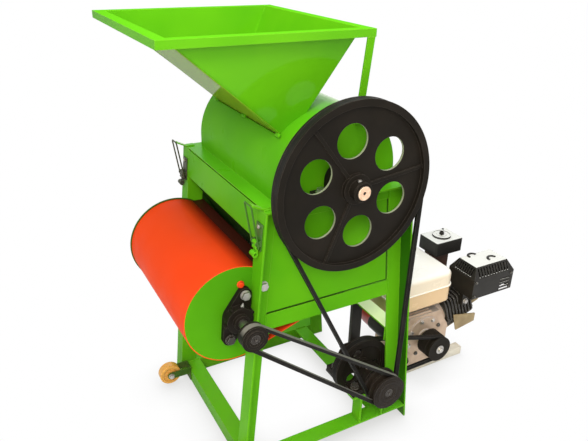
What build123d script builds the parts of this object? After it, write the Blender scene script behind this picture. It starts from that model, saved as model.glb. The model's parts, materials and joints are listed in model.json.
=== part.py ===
from build123d import *
import math
import os

os.makedirs("parts", exist_ok=True)

# A small belt-driven peanut sheller: leaning angle-iron frame, drum under a hinged cover with a hopper,
# round blower at the front, jackshaft low down at the drive side and a petrol engine behind.
# Millimetres. Across (x) is measured from the drum's axis, positive towards the engine; along (y) from
# the middle of the frame, negative towards the drive side; up (z) from the floor.

# Steel stock and fits
ANGLE = 40.0
ANGLE_WALL = 4.0
SHEET = 2.0
RUNNING_FIT = 0.05
SEAT_GAP = 0.3
BOLT_D = 10.0
BOLT_HOLE_D = 11.0
BOLT_HEAD_D = 19.0
BOLT_HEAD = 7.0
WASHER_D = 22.0
WASHER = 2.0
CENTRE_R = 4.0
CENTRE_DEPTH = 5.0
SHAFT_CHAMFER = 1.5

# Frame
FRAME_TOP = 672.0
FRAME_IN = 192.0
LEG_FOOT = 236.0
LEG_LEAN = 5.0
MID_RAIL_DROP = 60.0
PANEL_GAP = 3.0
STRIP_HEIGHT = 66.0
STRIP_GAP = 3.0
BASE_FAN_SET = 18.0
BASE_ENGINE_X = 175.0
MID_ENGINE_TOP = 278.0
LEG_TOP = FRAME_TOP - ANGLE_WALL
FRAME_OUT = FRAME_IN + ANGLE
LEG_SLOPE = math.tan(math.radians(LEG_LEAN))
BASE_FAN_X = LEG_FOOT - BASE_FAN_SET
MID_ENGINE_X = LEG_FOOT - LEG_SLOPE * MID_ENGINE_TOP

# Bearings on feet
PILLOW_HEIGHT = 33.3
PILLOW_LENGTH = 127.0
PILLOW_WIDTH = 34.0
PILLOW_FOOT = 14.0
PILLOW_R = 31.0
PILLOW_BOLTS = 96.0
DRUM_BEARING_SET = 23.0
DRUM_BEARING_Y = FRAME_IN + DRUM_BEARING_SET

# Belts and grooves
BELT_TOP = 12.6
BELT_HEIGHT = 8.0
BELT_DROP = 0.5
BELT_SIDE_GAP = 0.5
BELT_FLOOR_GAP = 2.5
GROOVE_HALF_ANGLE = 19.0
RIM_LAND = 5.2
BELT_PITCH = 18.0
DRUM_PULLEY_GAP = 17.0
ENGINE_BELT_SET = 22.0
GROOVE_TOP = BELT_TOP + 2 * BELT_SIDE_GAP
GROOVE_DEPTH = BELT_DROP + BELT_HEIGHT + BELT_FLOOR_GAP
RIM_FACE = RIM_LAND + GROOVE_TOP / 2
MAIN_BELT_Y = DRUM_BEARING_Y + PILLOW_WIDTH / 2 + DRUM_PULLEY_GAP + RIM_FACE
ENGINE_BELT_Y = FRAME_IN - ENGINE_BELT_SET
FAN_BELT_Y = MAIN_BELT_Y + BELT_PITCH
GROOVE_FLOOR = GROOVE_TOP - 2 * GROOVE_DEPTH * math.tan(math.radians(GROOVE_HALF_ANGLE))
BELT_FLOOR = BELT_TOP - 2 * BELT_HEIGHT * math.tan(math.radians(GROOVE_HALF_ANGLE))

# Shelling drum and concave
DRUM_SHAFT_D = 30.0
DRUM_SHAFT_END = 6.0
DRUM_SHAFT_REST = 10.0
DRUM_R = 118.0
DRUM_END_GAP = 3.0
DRUM_BARS = 6
DRUM_BAR_DEPTH = 26.0
DRUM_BAR_WIDTH = 10.0
SPIDER = 6.0
SPIDER_HUB_R = 26.0
CONCAVE_GAP = 8.0
CONCAVE_ROD_D = 8.0
CONCAVE_RODS = 21
CONCAVE_START = 190.0
CONCAVE_SWEEP = 160.0
CONCAVE_BAND = 10.0
CONCAVE_BAND_WIDTH = 6.0
DRUM_Z = FRAME_TOP + PILLOW_HEIGHT
DRUM_HALF = FRAME_IN - CONCAVE_BAND_WIDTH - DRUM_END_GAP

# Big drum pulley
DRUM_PULLEY_R = 177.0
DRUM_RIM = 3.0
DRUM_PULLEY_WEB = 6.0
DRUM_PULLEY_HOLES = 6
DRUM_PULLEY_HOLE_D = 70.0
DRUM_PULLEY_HOLE_PITCH = 97.0
DRUM_PULLEY_TURN = 37.5
DRUM_PULLEY_RIBS = 3
DRUM_RIB_TURN = 127.5
DRUM_RIB = 7.0
DRUM_HUB_R = 31.0
DRUM_HUB_NOSE_R = 21.0
DRUM_HUB_NOSE = 18.0
DRUM_SHAFT_NEAR = MAIN_BELT_Y + RIM_FACE + DRUM_HUB_NOSE + DRUM_SHAFT_END
DRUM_SHAFT_FAR = DRUM_BEARING_Y + PILLOW_WIDTH / 2 + DRUM_SHAFT_REST

# Cover and hinge
COVER_GAP = 5.0
COVER_BEARING_GAP = 2.0
LEDGE_LAND = 3.0
LEDGE_EDGE = 177.0
SHAFT_SLOT_GAP = 5.0
HINGE_PIN_D = 8.0
PIN_HEAD = 3.0
KNUCKLE_R = 7.0
KNUCKLE = 35.0
KNUCKLE_SET = 27.0
KNUCKLE_GAP = 0.5
LEAF = 3.0
LEAF_HEIGHT = 30.0
COVER_R = DRUM_R + CONCAVE_GAP + CONCAVE_BAND + COVER_GAP + SHEET
COVER_HALF = DRUM_BEARING_Y - PILLOW_WIDTH / 2 - COVER_BEARING_GAP
KNUCKLE_OUT = FRAME_IN - KNUCKLE_SET

# Hopper
HOPPER_LEFT = 365.0
HOPPER_RIGHT = 55.0
HOPPER_HALF = 220.0
HOPPER_TOP = 997.0
HOPPER_FLANGE = 20.0
HOPPER_LIP = 15.0
MOUTH_HALF = 162.0
MOUTH_HIGH_ANGLE = 115.7
MOUTH_LOW_ANGLE = 141.0
MOUTH_SINK = 4.0
MOUTH_GAP = 3.0
STAY_WIDTH = 16.0
STAY = 4.0
STAY_FOOT = 27.0

# Blower
FAN_SET = 31.32
FAN_DROP = 234.0
FAN_R = 111.0
FAN_LIP_ANGLE = 62.0
FAN_TAIL_ANGLE = 289.0
FAN_TAIL_END = -75.0
FAN_SHAFT_D = 20.0
FAN_SHAFT_END = 3.0
FAN_TIP_GAP = 19.0
FAN_BLADES = 6
FAN_BLADE_GAP = 15.0
FAN_INLETS = 4
FAN_INLET_D = 44.0
FAN_INLET_EDGE = 13.0
FAN_INLET_TURN = 115.0
FLANGE_TURN = 70.0
FLANGE_BOLTS = 104.0
FLANGE_END_R = 15.0
FLANGE_R = 29.0
FLANGE = 12.0
FLANGE_HOUSING = 16.0
FLANGE_COLLAR = 9.0
FLANGE_COLLAR_R = 17.0
FAN_PULLEY_R = 28.0
FAN_Z = FRAME_TOP - FAN_DROP
FAN_X = -(LEG_FOOT - LEG_SLOPE * FAN_Z + FAN_SET)
FAN_PLATE_R = FAN_R - SHEET
FAN_BLADE_R = FAN_PLATE_R - FAN_TIP_GAP
FAN_BLADE_HALF = FRAME_IN - SHEET - FAN_BLADE_GAP
FAN_INLET_PITCH = FAN_PLATE_R - FAN_INLET_D / 2 - FAN_INLET_EDGE
FAN_SHAFT_FAR = FRAME_IN + FLANGE + FLANGE_HOUSING + FLANGE_COLLAR + FAN_SHAFT_END
MID_RAIL_LOW = FAN_Z - MID_RAIL_DROP

# Jackshaft
JACK_X = 121.0
JACK_Z = 167.0
JACK_SHAFT_D = 20.0
JACK_SHAFT_END = 1.5
JACK_NEAR_SET = 26.0
JACK_FAR_Y = 130.0
JACK_PULLEY_R = 44.0
DRIVEN_R = 78.0
DRIVEN_WIDTH = 22.0
DRIVEN_RIM = 6.0
DRIVEN_WEB = 8.0
DRIVEN_HUB_R = 22.0
DRIVEN_HOLES = 3
DRIVEN_HOLE_D = 28.0
DRIVEN_HOLE_PITCH = 41.0
DRIVEN_HOLE_TURN = 107.0
SEAT = 6.0
STAND_LEG = 5.0
STAND_LEG_SPAN = 62.0
POST_WIDTH = 32.0
POST_DEPTH = 10.0
POST_Y = 52.0
SEAT_ARM = 60.0
JACK_NEAR_Y = FRAME_IN + JACK_NEAR_SET
JACK_SHAFT_FAR = JACK_FAR_Y - PILLOW_WIDTH / 2 - JACK_SHAFT_END

# Engine bed and engine
BED_ANGLE = 25.0
BED_WALL = 3.0
BED_REACH = 176.0
ENGINE_SET = 205.0
CRANK_HEIGHT = 106.0
BED_BOLTS_X = 162.0
BED_BOLTS_Y = 75.0
BED_MIDDLE_Y = 47.5
CASE_NEAR = 108.0
CASE_FAR = 10.0
CASE_FOOT = 12.0
CASE_FOOT_LENGTH = 190.0
CASE_CORNER = 12.0
EDGE_ROUND = 6.0
CASE_BACK = 74.0
CASE_REACH = 90.0
CASE_RISE = 69.0
CASE_COVER_R = 62.0
CASE_COVER = 6.0
CASE_BOSS_R = 26.0
CYLINDER_LEAN = 20.0
CYLINDER_Y = 50.0
CYLINDER_R = 42.0
FIN_FIRST = 100.0
FIN_PITCH = 11.0
FINS = 9
FIN = 4.0
FIN_WIDTH = 100.0
FIN_DEPTH = 96.0
CYLINDER_WEB = 25.0
CYLINDER_WEB_HALF = 45.0
ROCKER_WIDTH = 84.0
ROCKER_DEPTH = 72.0
ROCKER = 36.0
CRANK_D = 20.0
CRANK_FAR = 70.0
ENGINE_PULLEY_R = 37.0
ENGINE_PULLEY_GAP = 12.0
FLYWHEEL_R = 76.0
FLYWHEEL = 28.0
FLYWHEEL_Y = 22.0
SHROUD_R = 82.0
SHROUD_FAR = 85.0
SHROUD_WALL = 2.5
SHROUD_DUCT_X = 75.0
SHROUD_DUCT_Z = 29.0
SHROUD_DUCT_R = 50.0
SHROUD_EYE_R = 54.0
STARTER_R = 78.0
STARTER_NOSE_R = 52.0
STARTER_RIM = 22.0
STARTER_FAR = 135.0
TANK_LENGTH = 217.0
TANK_FILTER_GAP = 4.0
TANK_NEAR = 118.0
TANK_FAR = 60.0
TANK_BRACKET_HEIGHT = 14.0
TANK_HEIGHT = 115.0
TANK_CORNER = 26.0
TANK_CHAMFER = 22.0
TANK_CROWN = 16.0
TANK_BRACKET = 20.0
TANK_BRACKET_DEPTH = 50.0
CAP_SET = 85.0
CAP_Y = -20.0
CAP_R = 26.0
CAP_HEIGHT = 20.0
CAP_WALL = 5.0
NECK_R = 19.0
NECK = 12.0
FILTER_SET = 86.0
FILTER_LENGTH = 98.0
FILTER_NEAR = 30.0
FILTER_FAR = 48.0
FILTER_RISE = 110.0
FILTER_HEIGHT = 41.0
FILTER_DISH_R = 27.0
FILTER_DISH = 4.0
FILTER_STUD_R = 4.0
FILTER_STUD = 14.0
CARB_SET = 16.0
CARB_LENGTH = 66.0
CARB_FAR = 38.0
CARB_RISE = 81.0
GUARD_SET = 115.0
GUARD_LENGTH = 150.0
GUARD_NEAR = 160.0
GUARD_FAR = 60.0
GUARD_RISE = 114.0
GUARD_HEIGHT = 90.0
GUARD_SHOULDER = 30.0
GUARD_SHOULDER_SET = 17.0
GUARD_SLOTS = 11
GUARD_LEFT_SLOTS = 8
GUARD_SLOT = 5.0
GUARD_SLOT_END = 4.0
GUARD_LOUVRES = 4
GUARD_LOUVRE = 36.0
GUARD_LOUVRE_SET = 12.0
GUARD_LOUVRE_PITCH = 11.0
MUFFLER_GAP = 14.0
MUFFLER_RISE = 7.0
MUFFLER_CORNER = 14.0
MUFFLER_POST_R = 7.0
EXHAUST_SET = 27.0
EXHAUST = 24.0
EXHAUST_DEPTH = 14.0
EXHAUST_RISE = 64.0
MOTOR_GAP = 3.0
MOTOR_RISE = 34.0
MOTOR_R = 28.0
MOTOR_NEAR = 100.0
MOTOR_FAR = 20.0
MOTOR_LUG = 30.0
BED_TOP = BED_ANGLE
ENGINE_X = BASE_ENGINE_X + ENGINE_SET
ENGINE_Z = BED_TOP + CRANK_HEIGHT
BED_END = ENGINE_X + BED_REACH
CASE_LEFT = ENGINE_X - CASE_BACK
CASE_RIGHT = ENGINE_X + CASE_REACH
CASE_TOP = ENGINE_Z + CASE_RISE
FILTER_LEFT = ENGINE_X + FILTER_SET
FILTER_RIGHT = FILTER_LEFT + FILTER_LENGTH
TANK_RIGHT = FILTER_LEFT - TANK_FILTER_GAP
TANK_LEFT = TANK_RIGHT - TANK_LENGTH
TANK_LOW = CASE_TOP + TANK_BRACKET_HEIGHT
TANK_TOP = TANK_LOW + TANK_HEIGHT
FILTER_LOW = TANK_LOW + FILTER_RISE
FILTER_TOP = FILTER_LOW + FILTER_HEIGHT
CAP_X = TANK_LEFT + CAP_SET
CARB_LEFT = FILTER_LEFT + CARB_SET
CARB_RIGHT = CARB_LEFT + CARB_LENGTH
CARB_LOW = ENGINE_Z + CARB_RISE
GUARD_LEFT = ENGINE_X + GUARD_SET
GUARD_RIGHT = GUARD_LEFT + GUARD_LENGTH
GUARD_LOW = ENGINE_Z + GUARD_RISE
GUARD_TOP = GUARD_LOW + GUARD_HEIGHT
MUFFLER_LOW = GUARD_LOW + MUFFLER_RISE
EXHAUST_X = GUARD_LEFT + EXHAUST_SET
EXHAUST_LOW = ENGINE_Z + EXHAUST_RISE
MOTOR_X = CASE_LEFT - MOTOR_GAP - MOTOR_R
MOTOR_Z = ENGINE_Z + MOTOR_RISE

# Wheels at the blower end
WHEEL_R = 29.0
WHEEL_Z = 40.0
WHEEL_WIDTH = 24.0
WHEEL_REACH = 57.0
WHEEL_SET = 20.0
WHEEL_GAP = 2.0
WHEEL_HUB_R = 13.0
WHEEL_DISH = 3.0
WHEEL_TREAD = 8.0
FORK = 3.0
FORK_TOP = 50.0
FORK_LOW = 4.0
FORK_END = 10.0
AXLE_D = 10.0
WHEEL_X = -(BASE_FAN_X + WHEEL_REACH)
WHEEL_Y = FRAME_IN - WHEEL_SET

# Toggle latches on the front legs
LATCH_DROP = 66.0
LATCH_STAND_OFF = 8.0
LATCH_BASE = 2.5
LATCH_BASE_HALF = 13.0
LATCH_BASE_DOWN = 16.0
LATCH_BASE_UP = 39.0
LATCH_EAR = 3.0
LATCH_EAR_R = 5.5
LATCH_PIN_D = 4.0
LEVER_HALF = 8.0
LEVER = 3.0
LEVER_REACH = 24.0
LEVER_KNUCKLE_R = 4.5
LEVER_CURL_R = 6.0
LOOP_THROW = 10.0
LOOP_WIRE_D = 3.5
LOOP_HALF = 15.0
LOOP_BEND = 5.0
LOOP_REACH = 94.0
LOOP_LEAN = 16.0
LOOP_GRIP = 5.0
HOOK_HALF = 7.0
HOOK = 3.0
HOOK_ROOT = 158.0
HOOK_BEND = 179.0
HOOK_TIP = 202.0
HOOK_RISE = 11.0
HOOK_TIP_BACK = 1.5
HOOK_BEND_BACK = 0.75
LATCH_Y = FRAME_IN + ANGLE / 2
LATCH_PIVOT_Z = FRAME_TOP - LATCH_DROP
LATCH_BASE_LOW = LATCH_PIVOT_Z - LATCH_BASE_DOWN
LATCH_BASE_TOP = LATCH_PIVOT_Z + LATCH_BASE_UP
LEDGE_HALF = LATCH_Y + HOOK_HALF + LEDGE_LAND

# Bolts through the fan-end legs, as an (across, up) place
LEG_BOLT_SET = 26.0
LEG_BOLT_RISE = 54.0
LEG_BOLT_Z = FAN_Z + LEG_BOLT_RISE
LEG_BOLT = (-(LEG_FOOT - LEG_SLOPE * LEG_BOLT_Z - LEG_BOLT_SET), LEG_BOLT_Z)

# Grain boards
GRAIN_BOARD_DROP = 74.0
GRAIN_BOARD_X = 172.0
GRAIN_BOARD_FALL = 128.0
GRAIN_BOARD_RUN = 72.0
GRAIN_BOARD_TOP = FRAME_TOP - GRAIN_BOARD_DROP

# The origin lies on the floor under the middle of the machine's overall box
SHIFT_X = (HOPPER_LEFT - GUARD_RIGHT) / 2
SHIFT_Y = (DRUM_SHAFT_NEAR - DRUM_SHAFT_FAR) / 2
SIDES = (-1, 1)


def side_plane(y):
    """Side view, across and up; a positive extrusion goes towards the drive side."""
    return Plane(origin=(SHIFT_X, SHIFT_Y + y, 0), x_dir=(1, 0, 0), z_dir=(0, -1, 0))


def floor_plane(z):
    """Plan view, across and along; a positive extrusion goes up."""
    return Plane(origin=(SHIFT_X, SHIFT_Y, z), x_dir=(1, 0, 0), z_dir=(0, 0, 1))


def cross_plane(x):
    """End view, along and up; a positive extrusion goes towards the engine."""
    return Plane(origin=(SHIFT_X + x, SHIFT_Y, 0), x_dir=(0, 1, 0), z_dir=(1, 0, 0))


def shaft_plane(x, z):
    """Half section of a turned piece: along its shaft and out from its axis."""
    return Plane(origin=(SHIFT_X + x, SHIFT_Y, z), x_dir=(0, 1, 0), z_dir=(1, 0, 0))


def shaft_axis(x, z):
    return Axis((SHIFT_X + x, SHIFT_Y, z), (0, 1, 0))


def polar(centre, radius, angle):
    """Point on a circle in the side view, the angle in degrees from across to up."""
    turn = math.radians(angle)
    return (centre[0] + radius * math.cos(turn), centre[1] + radius * math.sin(turn))


def leg_face(z):
    """Distance of the leaning legs' outer faces from the drum's axis at a height."""
    return LEG_FOOT - LEG_SLOPE * z


def outline(plane, *points):
    """Face inside a closed line of points on a plane."""
    with BuildSketch(plane) as face:
        with BuildLine():
            Polyline(*points, close=True)
        make_face()
    return face.sketch


def between_legs(y, low, high, inset, gap=0.0):
    """Face that spans from leg to leg, its ends leaning with them, with a gap at the engine end."""
    wide = leg_face(low) - inset
    narrow = leg_face(high) - inset
    return outline(side_plane(y), (-wide, low), (wide - gap, low), (narrow - gap, high), (-narrow, high))


def leaning_strip(end, y, low, high, inner, outer=0.0):
    """Face along one leg's outer face, from inner behind it to outer in front of it."""
    return outline(
        side_plane(y),
        (end * (leg_face(low) + outer), low),
        (end * (leg_face(low) - inner), low),
        (end * (leg_face(high) - inner), high),
        (end * (leg_face(high) + outer), high),
    )


def rectangle(plane, left, right, low, high):
    return outline(plane, (left, low), (right, low), (right, high), (left, high))


def discs(plane, radius, *centres):
    with BuildSketch(plane) as face:
        with Locations(*centres):
            Circle(radius)
    return face.sketch


def hexagons(plane, across_corners, *centres):
    with BuildSketch(plane) as face:
        with Locations(*centres):
            RegularPolygon(across_corners / 2, 6)
    return face.sketch


# Four leaning legs of angle iron, two at each end of the frame
for end, name in ((-1, "legs_fan_end"), (1, "legs_engine_end")):
    with BuildPart() as legs:
        for side in SIDES:
            extrude(leaning_strip(end, side * FRAME_IN, 0, LEG_TOP, ANGLE_WALL), amount=-side * ANGLE)
            extrude(leaning_strip(end, side * FRAME_IN, 0, LEG_TOP, ANGLE), amount=-side * ANGLE_WALL)
            bolt_hole = discs(side_plane(side * FRAME_IN), BOLT_HOLE_D / 2, LEG_BOLT)
            extrude(bolt_hole, amount=-side * ANGLE_WALL, mode=Mode.SUBTRACT)
    legs.part.label = name
    export_step(legs.part, f"parts/{name}.step")

# Top rails that close the legs and carry the drum's bearings
DRUM_BOLTS = [
    (end * PILLOW_BOLTS / 2, side * DRUM_BEARING_Y) for end in SIDES for side in SIDES
]
with BuildPart() as top_rails:
    for side in SIDES:
        extrude(between_legs(side * FRAME_IN, LEG_TOP, FRAME_TOP, 0), amount=-side * ANGLE)
        extrude(between_legs(side * FRAME_IN, FRAME_TOP - ANGLE, LEG_TOP, ANGLE), amount=-side * ANGLE_WALL)
    extrude(discs(floor_plane(LEG_TOP), BOLT_HOLE_D / 2, *DRUM_BOLTS), amount=ANGLE_WALL, mode=Mode.SUBTRACT)
top_rails.part.label = "top_rails"
export_step(top_rails.part, "parts/top_rails.step")

# Middle rails under the side panels; the inward flange stops short of the blower
MID_FLANGE_START = FAN_X + FAN_R + PANEL_GAP
MID_FLANGE_END = leg_face(MID_RAIL_LOW + ANGLE_WALL) - ANGLE
with BuildPart() as mid_rails:
    for side in SIDES:
        extrude(
            between_legs(side * FRAME_IN, MID_RAIL_LOW, MID_RAIL_LOW + ANGLE, ANGLE),
            amount=-side * ANGLE_WALL,
        )
        extrude(
            rectangle(
                side_plane(side * FRAME_IN),
                MID_FLANGE_START,
                MID_FLANGE_END,
                MID_RAIL_LOW,
                MID_RAIL_LOW + ANGLE_WALL,
            ),
            amount=side * (ANGLE - ANGLE_WALL),
        )
mid_rails.part.label = "mid_rails"
export_step(mid_rails.part, "parts/mid_rails.step")

# Base rails along the sides, coped between the legs' flanges
with BuildPart() as base_rails:
    for side in SIDES:
        extrude(between_legs(side * FRAME_IN, 0, ANGLE, ANGLE), amount=-side * ANGLE_WALL)
        extrude(
            between_legs(side * (FRAME_IN + ANGLE_WALL), ANGLE - ANGLE_WALL, ANGLE, ANGLE_WALL),
            amount=-side * (ANGLE - ANGLE_WALL),
        )
base_rails.part.label = "base_rails"
export_step(base_rails.part, "parts/base_rails.step")

# Cross rails: outer edge, direction of the flange and top of each
CROSS_RAILS = (
    ("base_rail_fan", -BASE_FAN_X, 1, ANGLE),
    ("base_rail_engine", BASE_ENGINE_X, -1, ANGLE),
    ("mid_rail_engine", MID_ENGINE_X, -1, MID_ENGINE_TOP),
)
for name, edge, inward, top in CROSS_RAILS:
    with BuildPart() as cross_rail:
        extrude(
            outline(
                side_plane(FRAME_IN),
                (edge, top),
                (edge + inward * ANGLE, top),
                (edge + inward * ANGLE, top - ANGLE_WALL),
                (edge + inward * ANGLE_WALL, top - ANGLE_WALL),
                (edge + inward * ANGLE_WALL, top - ANGLE),
                (edge, top - ANGLE),
            ),
            amount=2 * FRAME_IN,
        )
    cross_rail.part.label = name
    export_step(cross_rail.part, f"parts/{name}.step")

# Sheet sides between the middle and top rails
PANEL_LOW = MID_RAIL_LOW + ANGLE + PANEL_GAP
with BuildPart() as side_panels:
    for side in SIDES:
        extrude(
            between_legs(side * (FRAME_IN + ANGLE_WALL), PANEL_LOW, FRAME_TOP - ANGLE, ANGLE, PANEL_GAP),
            amount=side * SHEET,
        )
side_panels.part.label = "side_panels"
export_step(side_panels.part, "parts/side_panels.step")

# Sheet strips that close the frame's ends under the cover; the engine end carries the hinge leaves
HINGE_X = leg_face(FRAME_TOP) + KNUCKLE_R + KNUCKLE_GAP
HINGE_Z = FRAME_TOP
STRIP_TOP = FRAME_TOP - STRIP_GAP
STRIP_LOW = STRIP_TOP - STRIP_HEIGHT
with BuildPart() as front_strip:
    extrude(leaning_strip(-1, FRAME_IN, STRIP_LOW, STRIP_TOP, SHEET), amount=2 * FRAME_IN)
front_strip.part.label = "front_strip"
export_step(front_strip.part, "parts/front_strip.step")

with BuildPart() as rear_strip:
    extrude(leaning_strip(1, FRAME_IN, STRIP_LOW, FRAME_TOP, SHEET), amount=2 * FRAME_IN)
    for side in SIDES:
        start = side * KNUCKLE_OUT
        extrude(
            leaning_strip(1, start, FRAME_TOP - LEAF_HEIGHT, FRAME_TOP, 0, LEAF),
            amount=side * KNUCKLE,
        )
        extrude(discs(side_plane(start), KNUCKLE_R, (HINGE_X, HINGE_Z)), amount=side * KNUCKLE)
        extrude(
            discs(side_plane(start), HINGE_PIN_D / 2 + RUNNING_FIT, (HINGE_X, HINGE_Z)),
            amount=side * KNUCKLE,
            mode=Mode.SUBTRACT,
        )
rear_strip.part.label = "rear_strip"
export_step(rear_strip.part, "parts/rear_strip.step")

# Hinge pins with a flat head at their outer end
with BuildPart() as hinge_pins:
    for side in SIDES:
        head = side_plane(side * KNUCKLE_OUT)
        extrude(discs(head, HINGE_PIN_D / 2, (HINGE_X, HINGE_Z)), amount=side * (2 * KNUCKLE + KNUCKLE_GAP))
        extrude(discs(head, KNUCKLE_R, (HINGE_X, HINGE_Z)), amount=-side * PIN_HEAD)
hinge_pins.part.label = "hinge_pins"
export_step(hinge_pins.part, "parts/hinge_pins.step")

# Sloping boards inside the frame that lead what falls from the concave over the air stream
with BuildPart() as grain_boards:
    for end in SIDES:
        foot_x = GRAIN_BOARD_X - GRAIN_BOARD_RUN
        foot_z = GRAIN_BOARD_TOP - GRAIN_BOARD_FALL
        extrude(
            outline(
                side_plane(FRAME_IN),
                (end * GRAIN_BOARD_X, GRAIN_BOARD_TOP),
                (end * foot_x, foot_z),
                (end * (foot_x - SHEET), foot_z),
                (end * (GRAIN_BOARD_X - SHEET), GRAIN_BOARD_TOP),
            ),
            amount=2 * FRAME_IN,
        )
grain_boards.part.label = "grain_boards"
export_step(grain_boards.part, "parts/grain_boards.step")


def pillow_outline(x, seat, y, shaft_d):
    """Side view of a bearing on feet, with its bore, on the plane of its far face."""
    with BuildSketch(side_plane(y)) as face:
        with Locations((x, seat + PILLOW_FOOT / 2)):
            Rectangle(PILLOW_LENGTH, PILLOW_FOOT)
        with Locations((x, seat + PILLOW_HEIGHT / 2)):
            Rectangle(2 * PILLOW_R, PILLOW_HEIGHT)
        with Locations((x, seat + PILLOW_HEIGHT)):
            Circle(PILLOW_R)
            Circle(shaft_d / 2 + RUNNING_FIT, mode=Mode.SUBTRACT)
    return face.sketch


# Cast bearings on feet for the drum, one on each top rail
with BuildPart() as drum_bearings:
    for side in SIDES:
        far_face = side * DRUM_BEARING_Y + PILLOW_WIDTH / 2
        extrude(pillow_outline(0, FRAME_TOP, far_face, DRUM_SHAFT_D), amount=PILLOW_WIDTH)
    extrude(
        discs(floor_plane(FRAME_TOP), BOLT_HOLE_D / 2, *DRUM_BOLTS),
        amount=PILLOW_FOOT,
        mode=Mode.SUBTRACT,
    )
drum_bearings.part.label = "drum_bearings"
export_step(drum_bearings.part, "parts/drum_bearings.step")

# Cast bearings on feet for the jackshaft
JACK_SEAT = JACK_Z - PILLOW_HEIGHT
JACK_BOLTS = [
    (JACK_X + end * PILLOW_BOLTS / 2, -y) for end in SIDES for y in (JACK_NEAR_Y, JACK_FAR_Y)
]
with BuildPart() as jackshaft_bearings:
    for y in (JACK_NEAR_Y, JACK_FAR_Y):
        extrude(pillow_outline(JACK_X, JACK_SEAT, PILLOW_WIDTH / 2 - y, JACK_SHAFT_D), amount=PILLOW_WIDTH)
    extrude(
        discs(floor_plane(JACK_SEAT), BOLT_HOLE_D / 2, *JACK_BOLTS),
        amount=PILLOW_FOOT,
        mode=Mode.SUBTRACT,
    )
jackshaft_bearings.part.label = "jackshaft_bearings"
export_step(jackshaft_bearings.part, "parts/jackshaft_bearings.step")

# Stand on the near base rail for the jackshaft's outer bearing
SEAT_LEFT = JACK_X - PILLOW_LENGTH / 2
SEAT_RIGHT = JACK_X + PILLOW_LENGTH / 2
STAND_BACK = -(FRAME_IN + ANGLE_WALL + PANEL_GAP)
STAND_FRONT = -(JACK_NEAR_Y + PILLOW_WIDTH / 2 + PANEL_GAP)
with BuildPart() as jackshaft_stand:
    extrude(
        rectangle(side_plane(STAND_BACK), SEAT_LEFT, SEAT_RIGHT, JACK_SEAT - SEAT, JACK_SEAT),
        amount=STAND_BACK - STAND_FRONT,
    )
    for end in SIDES:
        inner = JACK_X + end * STAND_LEG_SPAN / 2
        left, right = sorted((inner, inner + end * STAND_LEG))
        extrude(
            rectangle(side_plane(STAND_BACK), left, right, ANGLE, JACK_SEAT - SEAT),
            amount=STAND_BACK + FRAME_OUT,
        )
    extrude(
        discs(floor_plane(JACK_SEAT - SEAT), BOLT_HOLE_D / 2, *JACK_BOLTS),
        amount=SEAT,
        mode=Mode.SUBTRACT,
    )
jackshaft_stand.part.label = "jackshaft_stand"
export_step(jackshaft_stand.part, "parts/jackshaft_stand.step")

# Flat post between the engine-end rails, with a welded seat that reaches to the jackshaft's inner bearing
POST_LEFT = BASE_ENGINE_X - ANGLE_WALL
POST_RIGHT = POST_LEFT + POST_WIDTH
SEAT_FRONT = -(JACK_FAR_Y + PILLOW_WIDTH / 2 + PANEL_GAP)
SEAT_BACK = -(JACK_FAR_Y - PILLOW_WIDTH / 2 - PANEL_GAP)
with BuildPart() as jackshaft_post:
    extrude(
        outline(
            floor_plane(ANGLE),
            (POST_LEFT, -POST_Y),
            (POST_RIGHT, -POST_Y),
            (POST_RIGHT, POST_DEPTH - POST_Y),
            (POST_LEFT, POST_DEPTH - POST_Y),
        ),
        amount=MID_ENGINE_TOP - ANGLE_WALL - ANGLE,
    )
    extrude(
        outline(
            floor_plane(JACK_SEAT - SEAT),
            (SEAT_LEFT, SEAT_FRONT),
            (POST_RIGHT, SEAT_FRONT),
            (POST_RIGHT, POST_DEPTH - POST_Y),
            (POST_RIGHT - SEAT_ARM, POST_DEPTH - POST_Y),
            (POST_RIGHT - SEAT_ARM, SEAT_BACK),
            (SEAT_LEFT, SEAT_BACK),
        ),
        amount=SEAT,
    )
    extrude(
        discs(floor_plane(JACK_SEAT - SEAT), BOLT_HOLE_D / 2, *JACK_BOLTS),
        amount=SEAT,
        mode=Mode.SUBTRACT,
    )
jackshaft_post.part.label = "jackshaft_post"
export_step(jackshaft_post.part, "parts/jackshaft_post.step")

# Blower: green end plates inside the frame, orange scroll sheet wrapped round them
FAN = (FAN_X, FAN_Z)
FLANGE_BOLT_PLACES = [polar(FAN, end * FLANGE_BOLTS / 2, FLANGE_TURN) for end in SIDES]
FAN_INLET_PLACES = [
    polar(FAN, FAN_INLET_PITCH, FAN_INLET_TURN + 360 * i / FAN_INLETS) for i in range(FAN_INLETS)
]
for side, name in ((-1, "fan_end_near"), (1, "fan_end_far")):
    with BuildPart() as fan_end:
        inside = side_plane(side * (FRAME_IN - SHEET))
        extrude(discs(inside, FAN_PLATE_R, FAN), amount=-side * SHEET)
        extrude(discs(inside, FLANGE_COLLAR_R, FAN), amount=-side * SHEET, mode=Mode.SUBTRACT)
        extrude(
            discs(inside, BOLT_HOLE_D / 2, *FLANGE_BOLT_PLACES, LEG_BOLT),
            amount=-side * SHEET,
            mode=Mode.SUBTRACT,
        )
        if side > 0:
            extrude(discs(inside, FAN_INLET_D / 2, *FAN_INLET_PLACES), amount=-SHEET, mode=Mode.SUBTRACT)
    fan_end.part.label = name
    export_step(fan_end.part, f"parts/{name}.step")

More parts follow.
